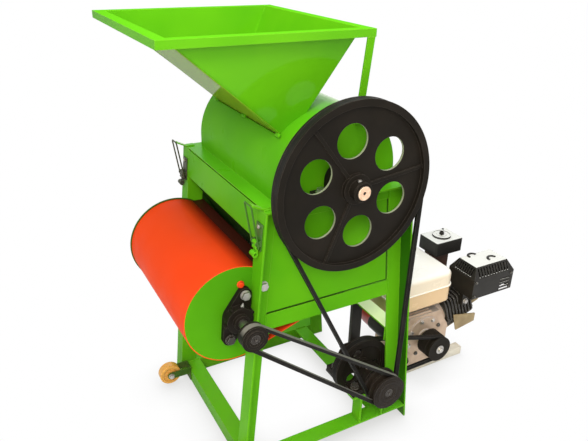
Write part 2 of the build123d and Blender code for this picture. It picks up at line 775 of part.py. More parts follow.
TAIL_START = polar(FAN, FAN_R, FAN_TAIL_ANGLE)
TAIL_SLOPE = math.tan(math.radians(FAN_TAIL_ANGLE + 90))
TAIL_Z = TAIL_START[1] + (FAN_TAIL_END - TAIL_START[0]) * TAIL_SLOPE
TAIL_THICK = SHEET / math.cos(math.radians(FAN_TAIL_ANGLE + 90))
with BuildPart() as fan_housing:
    with BuildSketch(side_plane(FRAME_IN)):
        with BuildLine():
            outer = CenterArc(FAN, FAN_R, FAN_LIP_ANGLE, FAN_TAIL_ANGLE - FAN_LIP_ANGLE)
            inner = CenterArc(FAN, FAN_PLATE_R, FAN_LIP_ANGLE, FAN_TAIL_ANGLE - FAN_LIP_ANGLE)
            Line(outer @ 0, inner @ 0)
            Polyline(outer @ 1, (FAN_TAIL_END, TAIL_Z), (FAN_TAIL_END, TAIL_Z + TAIL_THICK), inner @ 1)
        make_face()
    extrude(amount=2 * FRAME_IN)
fan_housing.part.label = "fan_housing"
export_step(fan_housing.part, "parts/fan_housing.step")


def flange_outline(plane):
    """Two-bolt flange: a round body drawn out to a lug at each bolt."""
    with BuildSketch(plane) as face:
        with Locations(FAN):
            Circle(FLANGE_R)
        with Locations(*FLANGE_BOLT_PLACES):
            Circle(FLANGE_END_R)
        make_hull()
    return face.sketch


# Two-bolt flange bearings on the blower's end plates
with BuildPart() as fan_bearings:
    for side in SIDES:
        plate = side_plane(side * FRAME_IN)
        housing = FLANGE + FLANGE_HOUSING
        extrude(flange_outline(plate), amount=-side * FLANGE)
        extrude(discs(plate, FLANGE_R, FAN), amount=-side * housing)
        extrude(discs(plate, FLANGE_COLLAR_R, FAN), amount=-side * (housing + FLANGE_COLLAR))
        extrude(
            discs(plate, FAN_SHAFT_D / 2 + RUNNING_FIT, FAN),
            amount=-side * (housing + FLANGE_COLLAR),
            mode=Mode.SUBTRACT,
        )
        extrude(discs(plate, BOLT_HOLE_D / 2, *FLANGE_BOLT_PLACES), amount=-side * FLANGE, mode=Mode.SUBTRACT)
fan_bearings.part.label = "fan_bearings"
export_step(fan_bearings.part, "parts/fan_bearings.step")


def centre_mark(axis, near):
    """Half section of the centre drilled in a shaft's near end."""
    return outline(shaft_plane(*axis), (-near, 0), (-near, CENTRE_R), (CENTRE_DEPTH - near, 0))


# Blower impeller: straight blades welded to its shaft
FAN_SHAFT_NEAR = FAN_BELT_Y + RIM_FACE
with BuildPart() as fan_rotor:
    extrude(
        discs(side_plane(FAN_SHAFT_FAR), FAN_SHAFT_D / 2, FAN),
        amount=FAN_SHAFT_FAR + FAN_SHAFT_NEAR,
    )
    revolve(centre_mark(FAN, FAN_SHAFT_NEAR), axis=shaft_axis(*FAN), mode=Mode.SUBTRACT)
    for i in range(FAN_BLADES):
        with BuildSketch(side_plane(FAN_BLADE_HALF)):
            with Locations(Location(FAN, 360 * i / FAN_BLADES)):
                Rectangle(FAN_BLADE_R, SHEET, align=(Align.MIN, Align.CENTER))
        extrude(amount=2 * FAN_BLADE_HALF)
fan_rotor.part.label = "fan_rotor"
export_step(fan_rotor.part, "parts/fan_rotor.step")


def grooved_rim(front, back, radius, bore, *belt_lines):
    """Half section of a V pulley; front and back are distances from the middle of the frame."""
    points = [(-back, bore), (-front, bore), (-front, radius)]
    for line in belt_lines:
        points.append((-line - GROOVE_TOP / 2, radius))
        points.append((-line - GROOVE_FLOOR / 2, radius - GROOVE_DEPTH))
        points.append((-line + GROOVE_FLOOR / 2, radius - GROOVE_DEPTH))
        points.append((-line + GROOVE_TOP / 2, radius))
    points.append((-back, radius))
    return points


# Small pulley on the blower's shaft
with BuildPart() as fan_pulley:
    rim = grooved_rim(
        FAN_BELT_Y + RIM_FACE,
        FAN_BELT_Y - RIM_FACE,
        FAN_PULLEY_R,
        FAN_SHAFT_D / 2 + RUNNING_FIT,
        FAN_BELT_Y,
    )
    revolve(outline(shaft_plane(*FAN), *rim), axis=shaft_axis(*FAN))
fan_pulley.part.label = "fan_pulley"
export_step(fan_pulley.part, "parts/fan_pulley.step")

# Jackshaft, its double pulley at the outer end and the disc pulley that the engine drives
JACK = (JACK_X, JACK_Z)
JACK_SHAFT_NEAR = FAN_BELT_Y + RIM_FACE
with BuildPart() as jackshaft:
    extrude(
        discs(side_plane(-JACK_SHAFT_FAR), JACK_SHAFT_D / 2, JACK),
        amount=JACK_SHAFT_NEAR - JACK_SHAFT_FAR,
    )
    revolve(centre_mark(JACK, JACK_SHAFT_NEAR), axis=shaft_axis(*JACK), mode=Mode.SUBTRACT)
jackshaft.part.label = "jackshaft"
export_step(jackshaft.part, "parts/jackshaft.step")

with BuildPart() as double_pulley:
    rim = grooved_rim(
        FAN_BELT_Y + RIM_FACE,
        MAIN_BELT_Y - RIM_FACE,
        JACK_PULLEY_R,
        JACK_SHAFT_D / 2 + RUNNING_FIT,
        FAN_BELT_Y,
        MAIN_BELT_Y,
    )
    revolve(outline(shaft_plane(*JACK), *rim), axis=shaft_axis(*JACK))
double_pulley.part.label = "double_pulley"
export_step(double_pulley.part, "parts/double_pulley.step")

DRIVEN_RIM_IN = DRIVEN_R - GROOVE_DEPTH - DRIVEN_RIM
DRIVEN_FRONT = ENGINE_BELT_Y + DRIVEN_WIDTH / 2
DRIVEN_BACK = ENGINE_BELT_Y - DRIVEN_WIDTH / 2
DRIVEN_HOLE_PLACES = [
    polar(JACK, DRIVEN_HOLE_PITCH, DRIVEN_HOLE_TURN + 360 * i / DRIVEN_HOLES) for i in range(DRIVEN_HOLES)
]
with BuildPart() as driven_pulley:
    rim = grooved_rim(DRIVEN_FRONT, DRIVEN_BACK, DRIVEN_R, DRIVEN_RIM_IN, ENGINE_BELT_Y)
    revolve(outline(shaft_plane(*JACK), *rim), axis=shaft_axis(*JACK))
    extrude(
        discs(side_plane(DRIVEN_WEB / 2 - ENGINE_BELT_Y), DRIVEN_RIM_IN + DRIVEN_RIM / 2, JACK),
        amount=DRIVEN_WEB,
    )
    extrude(discs(side_plane(-DRIVEN_BACK), DRIVEN_HUB_R, JACK), amount=DRIVEN_WIDTH)
    extrude(
        discs(side_plane(-DRIVEN_BACK), JACK_SHAFT_D / 2 + RUNNING_FIT, JACK),
        amount=DRIVEN_WIDTH,
        mode=Mode.SUBTRACT,
    )
    extrude(
        discs(side_plane(-DRIVEN_BACK), DRIVEN_HOLE_D / 2, *DRIVEN_HOLE_PLACES),
        amount=DRIVEN_WIDTH,
        mode=Mode.SUBTRACT,
    )
driven_pulley.part.label = "driven_pulley"
export_step(driven_pulley.part, "parts/driven_pulley.step")

# Drum shaft right through the machine, and the open drum of bars that rubs the shells off
DRUM = (0.0, DRUM_Z)
with BuildPart() as drum_shaft:
    extrude(
        discs(side_plane(DRUM_SHAFT_FAR), DRUM_SHAFT_D / 2, DRUM),
        amount=DRUM_SHAFT_FAR + DRUM_SHAFT_NEAR,
    )
    chamfer(drum_shaft.edges().filter_by(GeomType.CIRCLE), length=SHAFT_CHAMFER)
    revolve(centre_mark(DRUM, DRUM_SHAFT_NEAR), axis=shaft_axis(*DRUM), mode=Mode.SUBTRACT)
drum_shaft.part.label = "drum_shaft"
export_step(drum_shaft.part, "parts/drum_shaft.step")

with BuildPart() as drum_rotor:
    for middle in (-DRUM_HALF + SPIDER / 2, 0, DRUM_HALF - SPIDER / 2):
        extrude(discs(side_plane(middle + SPIDER / 2), DRUM_R - DRUM_BAR_DEPTH / 2, DRUM), amount=SPIDER)
        extrude(discs(side_plane(middle + SPIDER), SPIDER_HUB_R, DRUM), amount=2 * SPIDER)
    for i in range(DRUM_BARS):
        with BuildSketch(side_plane(DRUM_HALF)):
            with Locations(Location(polar(DRUM, DRUM_R, 360 * i / DRUM_BARS), 360 * i / DRUM_BARS)):
                Rectangle(DRUM_BAR_DEPTH, DRUM_BAR_WIDTH, align=(Align.MAX, Align.CENTER))
        extrude(amount=2 * DRUM_HALF)
    extrude(
        discs(side_plane(DRUM_HALF + SPIDER), DRUM_SHAFT_D / 2 + RUNNING_FIT, DRUM),
        amount=2 * (DRUM_HALF + SPIDER),
        mode=Mode.SUBTRACT,
    )
drum_rotor.part.label = "drum_rotor"
export_step(drum_rotor.part, "parts/drum_rotor.step")

# Big cast pulley on the drum: grooved rim, recessed web with six holes and three ribs, stepped hub
PULLEY_FRONT = MAIN_BELT_Y + RIM_FACE
PULLEY_BACK = MAIN_BELT_Y - RIM_FACE
RIM_INNER = DRUM_PULLEY_R - GROOVE_DEPTH - DRUM_RIM
WEB_R = RIM_INNER + DRUM_RIM / 2
WEB_BACK = side_plane(DRUM_PULLEY_WEB / 2 - MAIN_BELT_Y)
PULLEY_HOLE_PLACES = [
    polar(DRUM, DRUM_PULLEY_HOLE_PITCH, DRUM_PULLEY_TURN + 360 * i / DRUM_PULLEY_HOLES)
    for i in range(DRUM_PULLEY_HOLES)
]
with BuildPart() as drum_pulley:
    rim = grooved_rim(PULLEY_FRONT, PULLEY_BACK, DRUM_PULLEY_R, RIM_INNER, MAIN_BELT_Y)
    revolve(outline(shaft_plane(*DRUM), *rim), axis=shaft_axis(*DRUM))
    extrude(discs(WEB_BACK, WEB_R, DRUM), amount=DRUM_PULLEY_WEB)
    for i in range(DRUM_PULLEY_RIBS):
        with BuildSketch(WEB_BACK):
            turn = DRUM_RIB_TURN + 360 * i / DRUM_PULLEY_RIBS
            with Locations(Location(DRUM, turn)):
                Rectangle(WEB_R, DRUM_RIB, align=(Align.MIN, Align.CENTER))
        extrude(amount=DRUM_PULLEY_WEB + DRUM_RIB / 2)
    extrude(discs(side_plane(-PULLEY_BACK), DRUM_HUB_R, DRUM), amount=2 * RIM_FACE)
    extrude(discs(side_plane(-PULLEY_BACK), DRUM_HUB_NOSE_R, DRUM), amount=2 * RIM_FACE + DRUM_HUB_NOSE)
    extrude(
        discs(WEB_BACK, DRUM_PULLEY_HOLE_D / 2, *PULLEY_HOLE_PLACES),
        amount=DRUM_PULLEY_WEB,
        mode=Mode.SUBTRACT,
    )
    extrude(
        discs(side_plane(-PULLEY_BACK), DRUM_SHAFT_D / 2 + RUNNING_FIT, DRUM),
        amount=2 * RIM_FACE + DRUM_HUB_NOSE,
        mode=Mode.SUBTRACT,
    )
drum_pulley.part.label = "drum_pulley"
export_step(drum_pulley.part, "parts/drum_pulley.step")

# Concave grate of rods under the drum, between two curved end bands
CONCAVE_IN = DRUM_R + CONCAVE_GAP
with BuildPart() as concave_grate:
    for side in SIDES:
        with BuildSketch(side_plane(side * FRAME_IN)):
            with BuildLine():
                outer = CenterArc(DRUM, CONCAVE_IN + CONCAVE_BAND, CONCAVE_START, CONCAVE_SWEEP)
                inner = CenterArc(DRUM, CONCAVE_IN, CONCAVE_START, CONCAVE_SWEEP)
                Line(outer @ 0, inner @ 0)
                Line(outer @ 1, inner @ 1)
            make_face()
        extrude(amount=side * CONCAVE_BAND_WIDTH)
    rods = [
        polar(
            DRUM,
            CONCAVE_IN + CONCAVE_BAND / 2,
            CONCAVE_START + CONCAVE_SWEEP * (i + 0.5) / CONCAVE_RODS,
        )
        for i in range(CONCAVE_RODS)
    ]
    rod_half = FRAME_IN - CONCAVE_BAND_WIDTH / 2
    extrude(discs(side_plane(rod_half), CONCAVE_ROD_D / 2, *rods), amount=2 * rod_half)
concave_grate.part.label = "concave_grate"
export_step(concave_grate.part, "parts/concave_grate.step")


def belt_loop(plane, first, first_r, second, second_r):
    """Closed line of an open belt round two pulleys, with a start on its upper run."""
    across = second[0] - first[0]
    up = second[1] - first[1]
    heading = math.degrees(math.atan2(up, across))
    spread = math.degrees(math.acos((first_r - second_r) / math.hypot(across, up)))
    with BuildLine(plane) as loop:
        Line(polar(first, first_r, heading + spread), polar(second, second_r, heading + spread))
        ThreePointArc(
            polar(second, second_r, heading + spread),
            polar(second, second_r, heading),
            polar(second, second_r, heading - spread),
        )
        Line(polar(second, second_r, heading - spread), polar(first, first_r, heading - spread))
        ThreePointArc(
            polar(first, first_r, heading - spread),
            polar(first, first_r, heading + 180),
            polar(first, first_r, heading + spread),
        )
    return loop.wire()


def belt_section(loop):
    """V section across the loop's start, its wide side outwards."""
    start = loop @ 0
    run = loop % 0
    with BuildSketch(Plane(origin=start, x_dir=(0, 1, 0), z_dir=run)) as face:
        with BuildLine():
            Polyline(
                (-BELT_TOP / 2, BELT_HEIGHT),
                (BELT_TOP / 2, BELT_HEIGHT),
                (BELT_FLOOR / 2, 0),
                (-BELT_FLOOR / 2, 0),
                close=True,
            )
        make_face()
    return face.sketch


# V belts: jackshaft to drum, jackshaft to blower, engine to jackshaft; each rides just clear of its grooves
ENGINE = (ENGINE_X, ENGINE_Z)
BELT_IN = BELT_DROP + BELT_HEIGHT
BELTS = (
    ("main_belt", MAIN_BELT_Y, DRUM, DRUM_PULLEY_R, JACK, JACK_PULLEY_R),
    ("fan_belt", FAN_BELT_Y, FAN, FAN_PULLEY_R, JACK, JACK_PULLEY_R),
    ("engine_belt", ENGINE_BELT_Y, JACK, DRIVEN_R, ENGINE, ENGINE_PULLEY_R),
)
for name, belt_y, first, first_r, second, second_r in BELTS:
    loop = belt_loop(side_plane(-belt_y), first, first_r - BELT_IN, second, second_r - BELT_IN)
    with BuildPart() as belt:
        sweep(belt_section(loop), path=loop)
    belt.part.label = name
    export_step(belt.part, f"parts/{name}.step")

# Envelope of the hopper's funnel: slanted sides from the rim down to the mouth in the cover
FUNNEL_LEFT = -(HOPPER_LEFT - HOPPER_FLANGE)
FUNNEL_RIGHT = HOPPER_RIGHT - HOPPER_FLANGE
FUNNEL_HALF = HOPPER_HALF - HOPPER_FLANGE
MOUTH_HIGH = polar(DRUM, COVER_R - MOUTH_SINK, MOUTH_HIGH_ANGLE)
MOUTH_LOW = polar(DRUM, COVER_R - MOUTH_SINK, MOUTH_LOW_ANGLE)
SIDE_SLOPE = (FUNNEL_HALF - MOUTH_HALF) / (HOPPER_TOP - MOUTH_HIGH[1])
MOUTH_RUN = math.hypot(MOUTH_HIGH[0] - MOUTH_LOW[0], MOUTH_HIGH[1] - MOUTH_LOW[1])
MOUTH_SLANT = math.atan2(MOUTH_HIGH[1] - MOUTH_LOW[1], MOUTH_HIGH[0] - MOUTH_LOW[0])
FRONT_SLANT = math.atan2(HOPPER_TOP - MOUTH_LOW[1], FUNNEL_LEFT - MOUTH_LOW[0])
BACK_SLANT = math.atan2(HOPPER_TOP - MOUTH_HIGH[1], FUNNEL_RIGHT - MOUTH_HIGH[0])
MOUTH_PLANE = Plane(
    origin=(SHIFT_X + MOUTH_LOW[0], SHIFT_Y, MOUTH_LOW[1]),
    x_dir=(MOUTH_HIGH[0] - MOUTH_LOW[0], 0, MOUTH_HIGH[1] - MOUTH_LOW[1]),
    z_dir=(MOUTH_LOW[1] - MOUTH_HIGH[1], 0, MOUTH_HIGH[0] - MOUTH_LOW[0]),
)


def funnel_ends(wall):
    """Mouth and rim of the funnel, each taken in so that all four sides lose a wall's thickness."""

    def half(z):
        return FUNNEL_HALF - SIDE_SLOPE * (HOPPER_TOP - z) - wall * math.hypot(1, SIDE_SLOPE)

    low = wall / math.sin(FRONT_SLANT - MOUTH_SLANT)
    high = MOUTH_RUN - wall / math.sin(BACK_SLANT - MOUTH_SLANT)
    low_half = half(MOUTH_LOW[1] + low * math.sin(MOUTH_SLANT))
    high_half = half(MOUTH_LOW[1] + high * math.sin(MOUTH_SLANT))
    mouth = outline(MOUTH_PLANE, (low, -low_half), (high, -high_half), (high, high_half), (low, low_half))
    left = FUNNEL_LEFT + wall / math.sin(FRONT_SLANT)
    right = FUNNEL_RIGHT - wall / math.sin(BACK_SLANT)
    rim = rectangle(floor_plane(HOPPER_TOP), left, right, -half(HOPPER_TOP), half(HOPPER_TOP))
    return [mouth, rim]


with BuildPart() as funnel:
    loft(funnel_ends(0), ruled=True)

# Hopper of folded sheet with a turned-out rim
with BuildPart() as hopper:
    loft(funnel_ends(0), ruled=True)
    with BuildSketch(floor_plane(HOPPER_TOP)):
        with Locations(((HOPPER_RIGHT - HOPPER_LEFT) / 2, 0)):
            Rectangle(HOPPER_LEFT + HOPPER_RIGHT, 2 * HOPPER_HALF)
    extrude(amount=-SHEET)
    loft(funnel_ends(SHEET), ruled=True, mode=Mode.SUBTRACT)
    with BuildSketch(floor_plane(HOPPER_TOP)):
        with Locations(((HOPPER_RIGHT - HOPPER_LEFT) / 2, 0)):
            Rectangle(HOPPER_LEFT + HOPPER_RIGHT, 2 * HOPPER_HALF)
            Rectangle(
                HOPPER_LEFT + HOPPER_RIGHT - 2 * SHEET,
                2 * (HOPPER_HALF - SHEET),
                mode=Mode.SUBTRACT,
            )
    extrude(amount=-HOPPER_LIP)
hopper.part.label = "hopper"
export_step(hopper.part, "parts/hopper.step")

# Half-round cover over the drum, with ledges, end plates, hinge knuckles and the latches' hooks
COVER_LOW = FRAME_TOP + SEAT_GAP
COVER_IN = COVER_R - SHEET
FLANGE_EDGE = leg_face(FRAME_TOP) - SHEET
with BuildPart() as drum_cover:
    with BuildSketch(side_plane(COVER_HALF)):
        with Locations(DRUM):
            Circle(COVER_R)
        with Locations((0, (COVER_LOW + DRUM_Z) / 2)):
            Rectangle(2 * COVER_R, DRUM_Z - COVER_LOW)
        with Locations((0, COVER_LOW)):
            Rectangle(2 * COVER_R, 2 * COVER_R, align=(Align.CENTER, Align.MAX), mode=Mode.SUBTRACT)
    extrude(amount=2 * COVER_HALF)
    with BuildSketch(side_plane(COVER_HALF - SHEET)):
        with Locations(DRUM):
            Circle(COVER_IN)
        with Locations((0, DRUM_Z)):
            Rectangle(2 * COVER_IN, 2 * COVER_IN, align=(Align.CENTER, Align.MAX))
    extrude(amount=2 * (COVER_HALF - SHEET), mode=Mode.SUBTRACT)
    with BuildSketch(side_plane(COVER_HALF)):
        with Locations(DRUM):
            Circle(DRUM_SHAFT_D / 2 + SHAFT_SLOT_GAP)
            Rectangle(
                DRUM_SHAFT_D + 2 * SHAFT_SLOT_GAP,
                2 * PILLOW_HEIGHT,
                align=(Align.CENTER, Align.MAX),
            )
    extrude(amount=2 * COVER_HALF, mode=Mode.SUBTRACT)
    for slip in (0, MOUTH_GAP):
        add(Location((-slip, 0, 0)) * funnel.part, mode=Mode.SUBTRACT)
    ledge = rectangle(side_plane(LEDGE_HALF), -LEDGE_EDGE, -COVER_IN, COVER_LOW, COVER_LOW + SHEET)
    extrude(ledge, amount=2 * LEDGE_HALF)
    flange = rectangle(side_plane(COVER_HALF), COVER_IN, FLANGE_EDGE, COVER_LOW, COVER_LOW + SHEET)
    extrude(flange, amount=2 * COVER_HALF)
    for side in SIDES:
        start = side_plane(side * (KNUCKLE_OUT - KNUCKLE - KNUCKLE_GAP))
        length = side * (KNUCKLE - KNUCKLE_GAP)
        extrude(rectangle(start, FLANGE_EDGE - SHEET, HINGE_X, COVER_LOW, COVER_LOW + SHEET), amount=length)
        extrude(discs(start, KNUCKLE_R, (HINGE_X, HINGE_Z)), amount=length)
        extrude(
            discs(start, HINGE_PIN_D / 2 + RUNNING_FIT, (HINGE_X, HINGE_Z)),
            amount=length,
            mode=Mode.SUBTRACT,
        )
        hook_low = COVER_LOW + SHEET
        hook = outline(
            side_plane(side * LATCH_Y + HOOK_HALF),
            (-HOOK_ROOT, hook_low),
            (-HOOK_BEND, hook_low),
            (-HOOK_TIP, hook_low + HOOK_RISE),
            (-HOOK_TIP + HOOK_TIP_BACK, hook_low + HOOK_RISE + HOOK),
            (-HOOK_BEND + HOOK_BEND_BACK, hook_low + HOOK),
            (-HOOK_ROOT, hook_low + HOOK),
        )
        extrude(hook, amount=2 * HOOK_HALF)
drum_cover.part.label = "drum_cover"
export_step(drum_cover.part, "parts/drum_cover.step")

# Flat stays from the cover's end plates up to the rim's corners at the engine end
STAY_RIGHT = HOPPER_RIGHT - SHEET
STAY_LEFT = STAY_RIGHT - STAY_WIDTH
STAY_BEND = DRUM_Z + math.sqrt(COVER_R**2 - STAY_RIGHT**2)
STAY_TOP = HOPPER_TOP - HOPPER_LIP
with BuildPart() as hopper_stays:
    for side in SIDES:
        stay = outline(
            cross_plane(STAY_LEFT),
            (side * COVER_HALF, STAY_BEND - STAY_FOOT),
            (side * COVER_HALF, STAY_BEND),
            (side * (HOPPER_HALF - STAY), STAY_TOP),
            (side * HOPPER_HALF, STAY_TOP),
            (side * (COVER_HALF + STAY), STAY_BEND),
            (side * (COVER_HALF + STAY), STAY_BEND - STAY_FOOT),
        )
        extrude(stay, amount=STAY_WIDTH)
hopper_stays.part.label = "hopper_stays"
export_step(hopper_stays.part, "parts/hopper_stays.step")

# Toggle latches: a base with a pin on each front leg, a lever and a wire loop
LATCH_PIVOT = (-leg_face(LATCH_PIVOT_Z) - LATCH_STAND_OFF, LATCH_PIVOT_Z)
LOOP_PIVOT = (LATCH_PIVOT[0], LATCH_PIVOT_Z - LOOP_THROW)
EAR_OUT = LATCH_BASE_HALF - SEAT_GAP
EAR_SPAN = 2 * EAR_OUT
with BuildPart() as latch_bases:
    for side in SIDES:
        middle = side * LATCH_Y
        extrude(
            leaning_strip(-1, middle + LATCH_BASE_HALF, LATCH_BASE_LOW, LATCH_BASE_TOP, 0, LATCH_BASE),
            amount=2 * LATCH_BASE_HALF,
        )
        for start in (middle + EAR_OUT, middle - EAR_OUT + LATCH_EAR):
            extrude(discs(side_plane(start), LATCH_EAR_R, LATCH_PIVOT), amount=LATCH_EAR)
            ear = rectangle(
                side_plane(start),
                LATCH_PIVOT[0],
                LATCH_PIVOT[0] + LATCH_STAND_OFF - LATCH_BASE / 2,
                LATCH_PIVOT_Z - LATCH_EAR_R,
                LATCH_PIVOT_Z + LATCH_EAR_R,
            )
            extrude(ear, amount=LATCH_EAR)
        extrude(discs(side_plane(middle + EAR_OUT), LATCH_PIN_D / 2, LATCH_PIVOT), amount=EAR_SPAN)
latch_bases.part.label = "latch_bases"
export_step(latch_bases.part, "parts/latch_bases.step")

LEVER_END = LATCH_PIVOT_Z - LEVER_REACH
CURL = (LATCH_PIVOT[0] - LEVER_CURL_R + LEVER / 2, LEVER_END)
for side, name in ((-1, "latch_lever_near"), (1, "latch_lever_far")):
    with BuildPart() as lever:
        start = side_plane(side * LATCH_Y + LEVER_HALF)
        extrude(discs(start, LEVER_KNUCKLE_R, LATCH_PIVOT, LOOP_PIVOT), amount=2 * LEVER_HALF)
        strip = rectangle(
            start,
            LATCH_PIVOT[0] - LEVER / 2,
            LATCH_PIVOT[0] + LEVER / 2,
            LEVER_END,
            LATCH_PIVOT_Z,
        )
        extrude(strip, amount=2 * LEVER_HALF)
        extrude(discs(start, LEVER_CURL_R, CURL), amount=2 * LEVER_HALF)
        extrude(discs(start, LEVER_CURL_R - LEVER, CURL), amount=2 * LEVER_HALF, mode=Mode.SUBTRACT)
        pin_hole = discs(start, LATCH_PIN_D / 2 + RUNNING_FIT, LATCH_PIVOT)
        extrude(pin_hole, amount=2 * LEVER_HALF, mode=Mode.SUBTRACT)
        wire_hole = discs(start, LOOP_WIRE_D / 2 + RUNNING_FIT, LOOP_PIVOT)
        extrude(wire_hole, amount=2 * LEVER_HALF, mode=Mode.SUBTRACT)
    lever.part.label = name
    export_step(lever.part, f"parts/{name}.step")

LOOP_LENGTH = math.hypot(LOOP_LEAN, LOOP_REACH)
for side, name in ((-1, "latch_loop_near"), (1, "latch_loop_far")):
    loop_plane = Plane(
        origin=(SHIFT_X + LOOP_PIVOT[0], SHIFT_Y + side * LATCH_Y, LOOP_PIVOT[1]),
        x_dir=(0, 1, 0),
        z_dir=(LOOP_REACH, 0, LOOP_LEAN),
    )
    with BuildPart() as wire_loop:
        with BuildLine(loop_plane) as wire:
            FilletPolyline(
                (LEVER_HALF - LOOP_GRIP, 0),
                (LOOP_HALF, 0),
                (LOOP_HALF, LOOP_LENGTH),
                (-LOOP_HALF, LOOP_LENGTH),
                (-LOOP_HALF, 0),
                (LOOP_GRIP - LEVER_HALF, 0),
                radius=LOOP_BEND,
            )
        with BuildSketch(Plane(origin=wire.wire() @ 0, z_dir=wire.wire() % 0)):
            Circle(LOOP_WIRE_D / 2)
        sweep()
    wire_loop.part.label = name
    export_step(wire_loop.part, f"parts/{name}.step")

# Fork brackets with axles on the blower-end base rail, and the two wheels
FORK_IN = WHEEL_WIDTH / 2 + WHEEL_GAP
FORK_BACK = -BASE_FAN_X
with BuildPart() as wheel_brackets:
    for side in SIDES:
        middle = side * WHEEL_Y
        extrude(
            rectangle(side_plane(middle + FORK_IN), FORK_BACK - FORK, FORK_BACK, FORK_LOW, FORK_TOP),
            amount=2 * FORK_IN,
        )
        for start in (middle + FORK_IN + FORK, middle - FORK_IN):
            arm = rectangle(
                side_plane(start),
                WHEEL_X,
                FORK_BACK,
                WHEEL_Z - FORK_END,
                FORK_TOP,
            )
            extrude(arm, amount=FORK)
            extrude(discs(side_plane(start), FORK_END, (WHEEL_X, WHEEL_Z)), amount=FORK)
        axle_start = side_plane(middle + FORK_IN + FORK)
        extrude(discs(axle_start, AXLE_D / 2, (WHEEL_X, WHEEL_Z)), amount=2 * (FORK_IN + FORK))
wheel_brackets.part.label = "wheel_brackets"
export_step(wheel_brackets.part, "parts/wheel_brackets.step")

for side, name in ((-1, "wheel_near"), (1, "wheel_far")):
    with BuildPart() as wheel:
        start = side_plane(side * WHEEL_Y + WHEEL_WIDTH / 2)
        extrude(discs(start, WHEEL_R, (WHEEL_X, WHEEL_Z)), amount=WHEEL_WIDTH)
        fillet(wheel.edges().filter_by(GeomType.CIRCLE), radius=WHEEL_DISH)
        for face_y, depth in ((WHEEL_WIDTH / 2, 1), (-WHEEL_WIDTH / 2, -1)):
            with BuildSketch(side_plane(side * WHEEL_Y + face_y)):
                with Locations((WHEEL_X, WHEEL_Z)):
                    Circle(WHEEL_R - WHEEL_TREAD)
                    Circle(WHEEL_HUB_R, mode=Mode.SUBTRACT)
            extrude(amount=depth * WHEEL_DISH, mode=Mode.SUBTRACT)
        extrude(
            discs(start, AXLE_D / 2 + RUNNING_FIT, (WHEEL_X, WHEEL_Z)),
            amount=WHEEL_WIDTH,
            mode=Mode.SUBTRACT,
        )
    wheel.part.label = name
    export_step(wheel.part, f"parts/{name}.step")

# Engine bed: two light angles on the floor, welded to the engine-end base rail
BED_BOLT_PLACES = [
    (ENGINE_X + end * BED_BOLTS_X / 2, -BED_MIDDLE_Y + side * BED_BOLTS_Y / 2)
    for end in SIDES
    for side in SIDES
]
with BuildPart() as engine_bed:
    for side in SIDES:
        middle = -BED_MIDDLE_Y + side * BED_BOLTS_Y / 2
        edge = middle + side * BED_ANGLE / 2
        extrude(
            outline(
                cross_plane(BASE_ENGINE_X),
                (edge, 0),
                (edge, BED_TOP),
                (edge - side * BED_ANGLE, BED_TOP),
                (edge - side * BED_ANGLE, BED_TOP - BED_WALL),
                (edge - side * BED_WALL, BED_TOP - BED_WALL),
                (edge - side * BED_WALL, 0),
            ),
            amount=BED_END - BASE_ENGINE_X,
        )
    extrude(
        discs(floor_plane(BED_TOP - BED_WALL), BOLT_HOLE_D / 2, *BED_BOLT_PLACES),
        amount=BED_WALL,
        mode=Mode.SUBTRACT,
    )
engine_bed.part.label = "engine_bed"
export_step(engine_bed.part, "parts/engine_bed.step")


def cylinder_plane(reach):
    """Plane across the leaning cylinder at a distance from the crank's axis; along the shaft and up."""
    lean = math.radians(CYLINDER_LEAN)
    return Plane(
        origin=(
            SHIFT_X + ENGINE_X + reach * math.cos(lean),
            SHIFT_Y - CYLINDER_Y,
            ENGINE_Z + reach * math.sin(lean),
        ),
        x_dir=(0, 1, 0),
        z_dir=(math.cos(lean), 0, math.sin(lean)),
    )


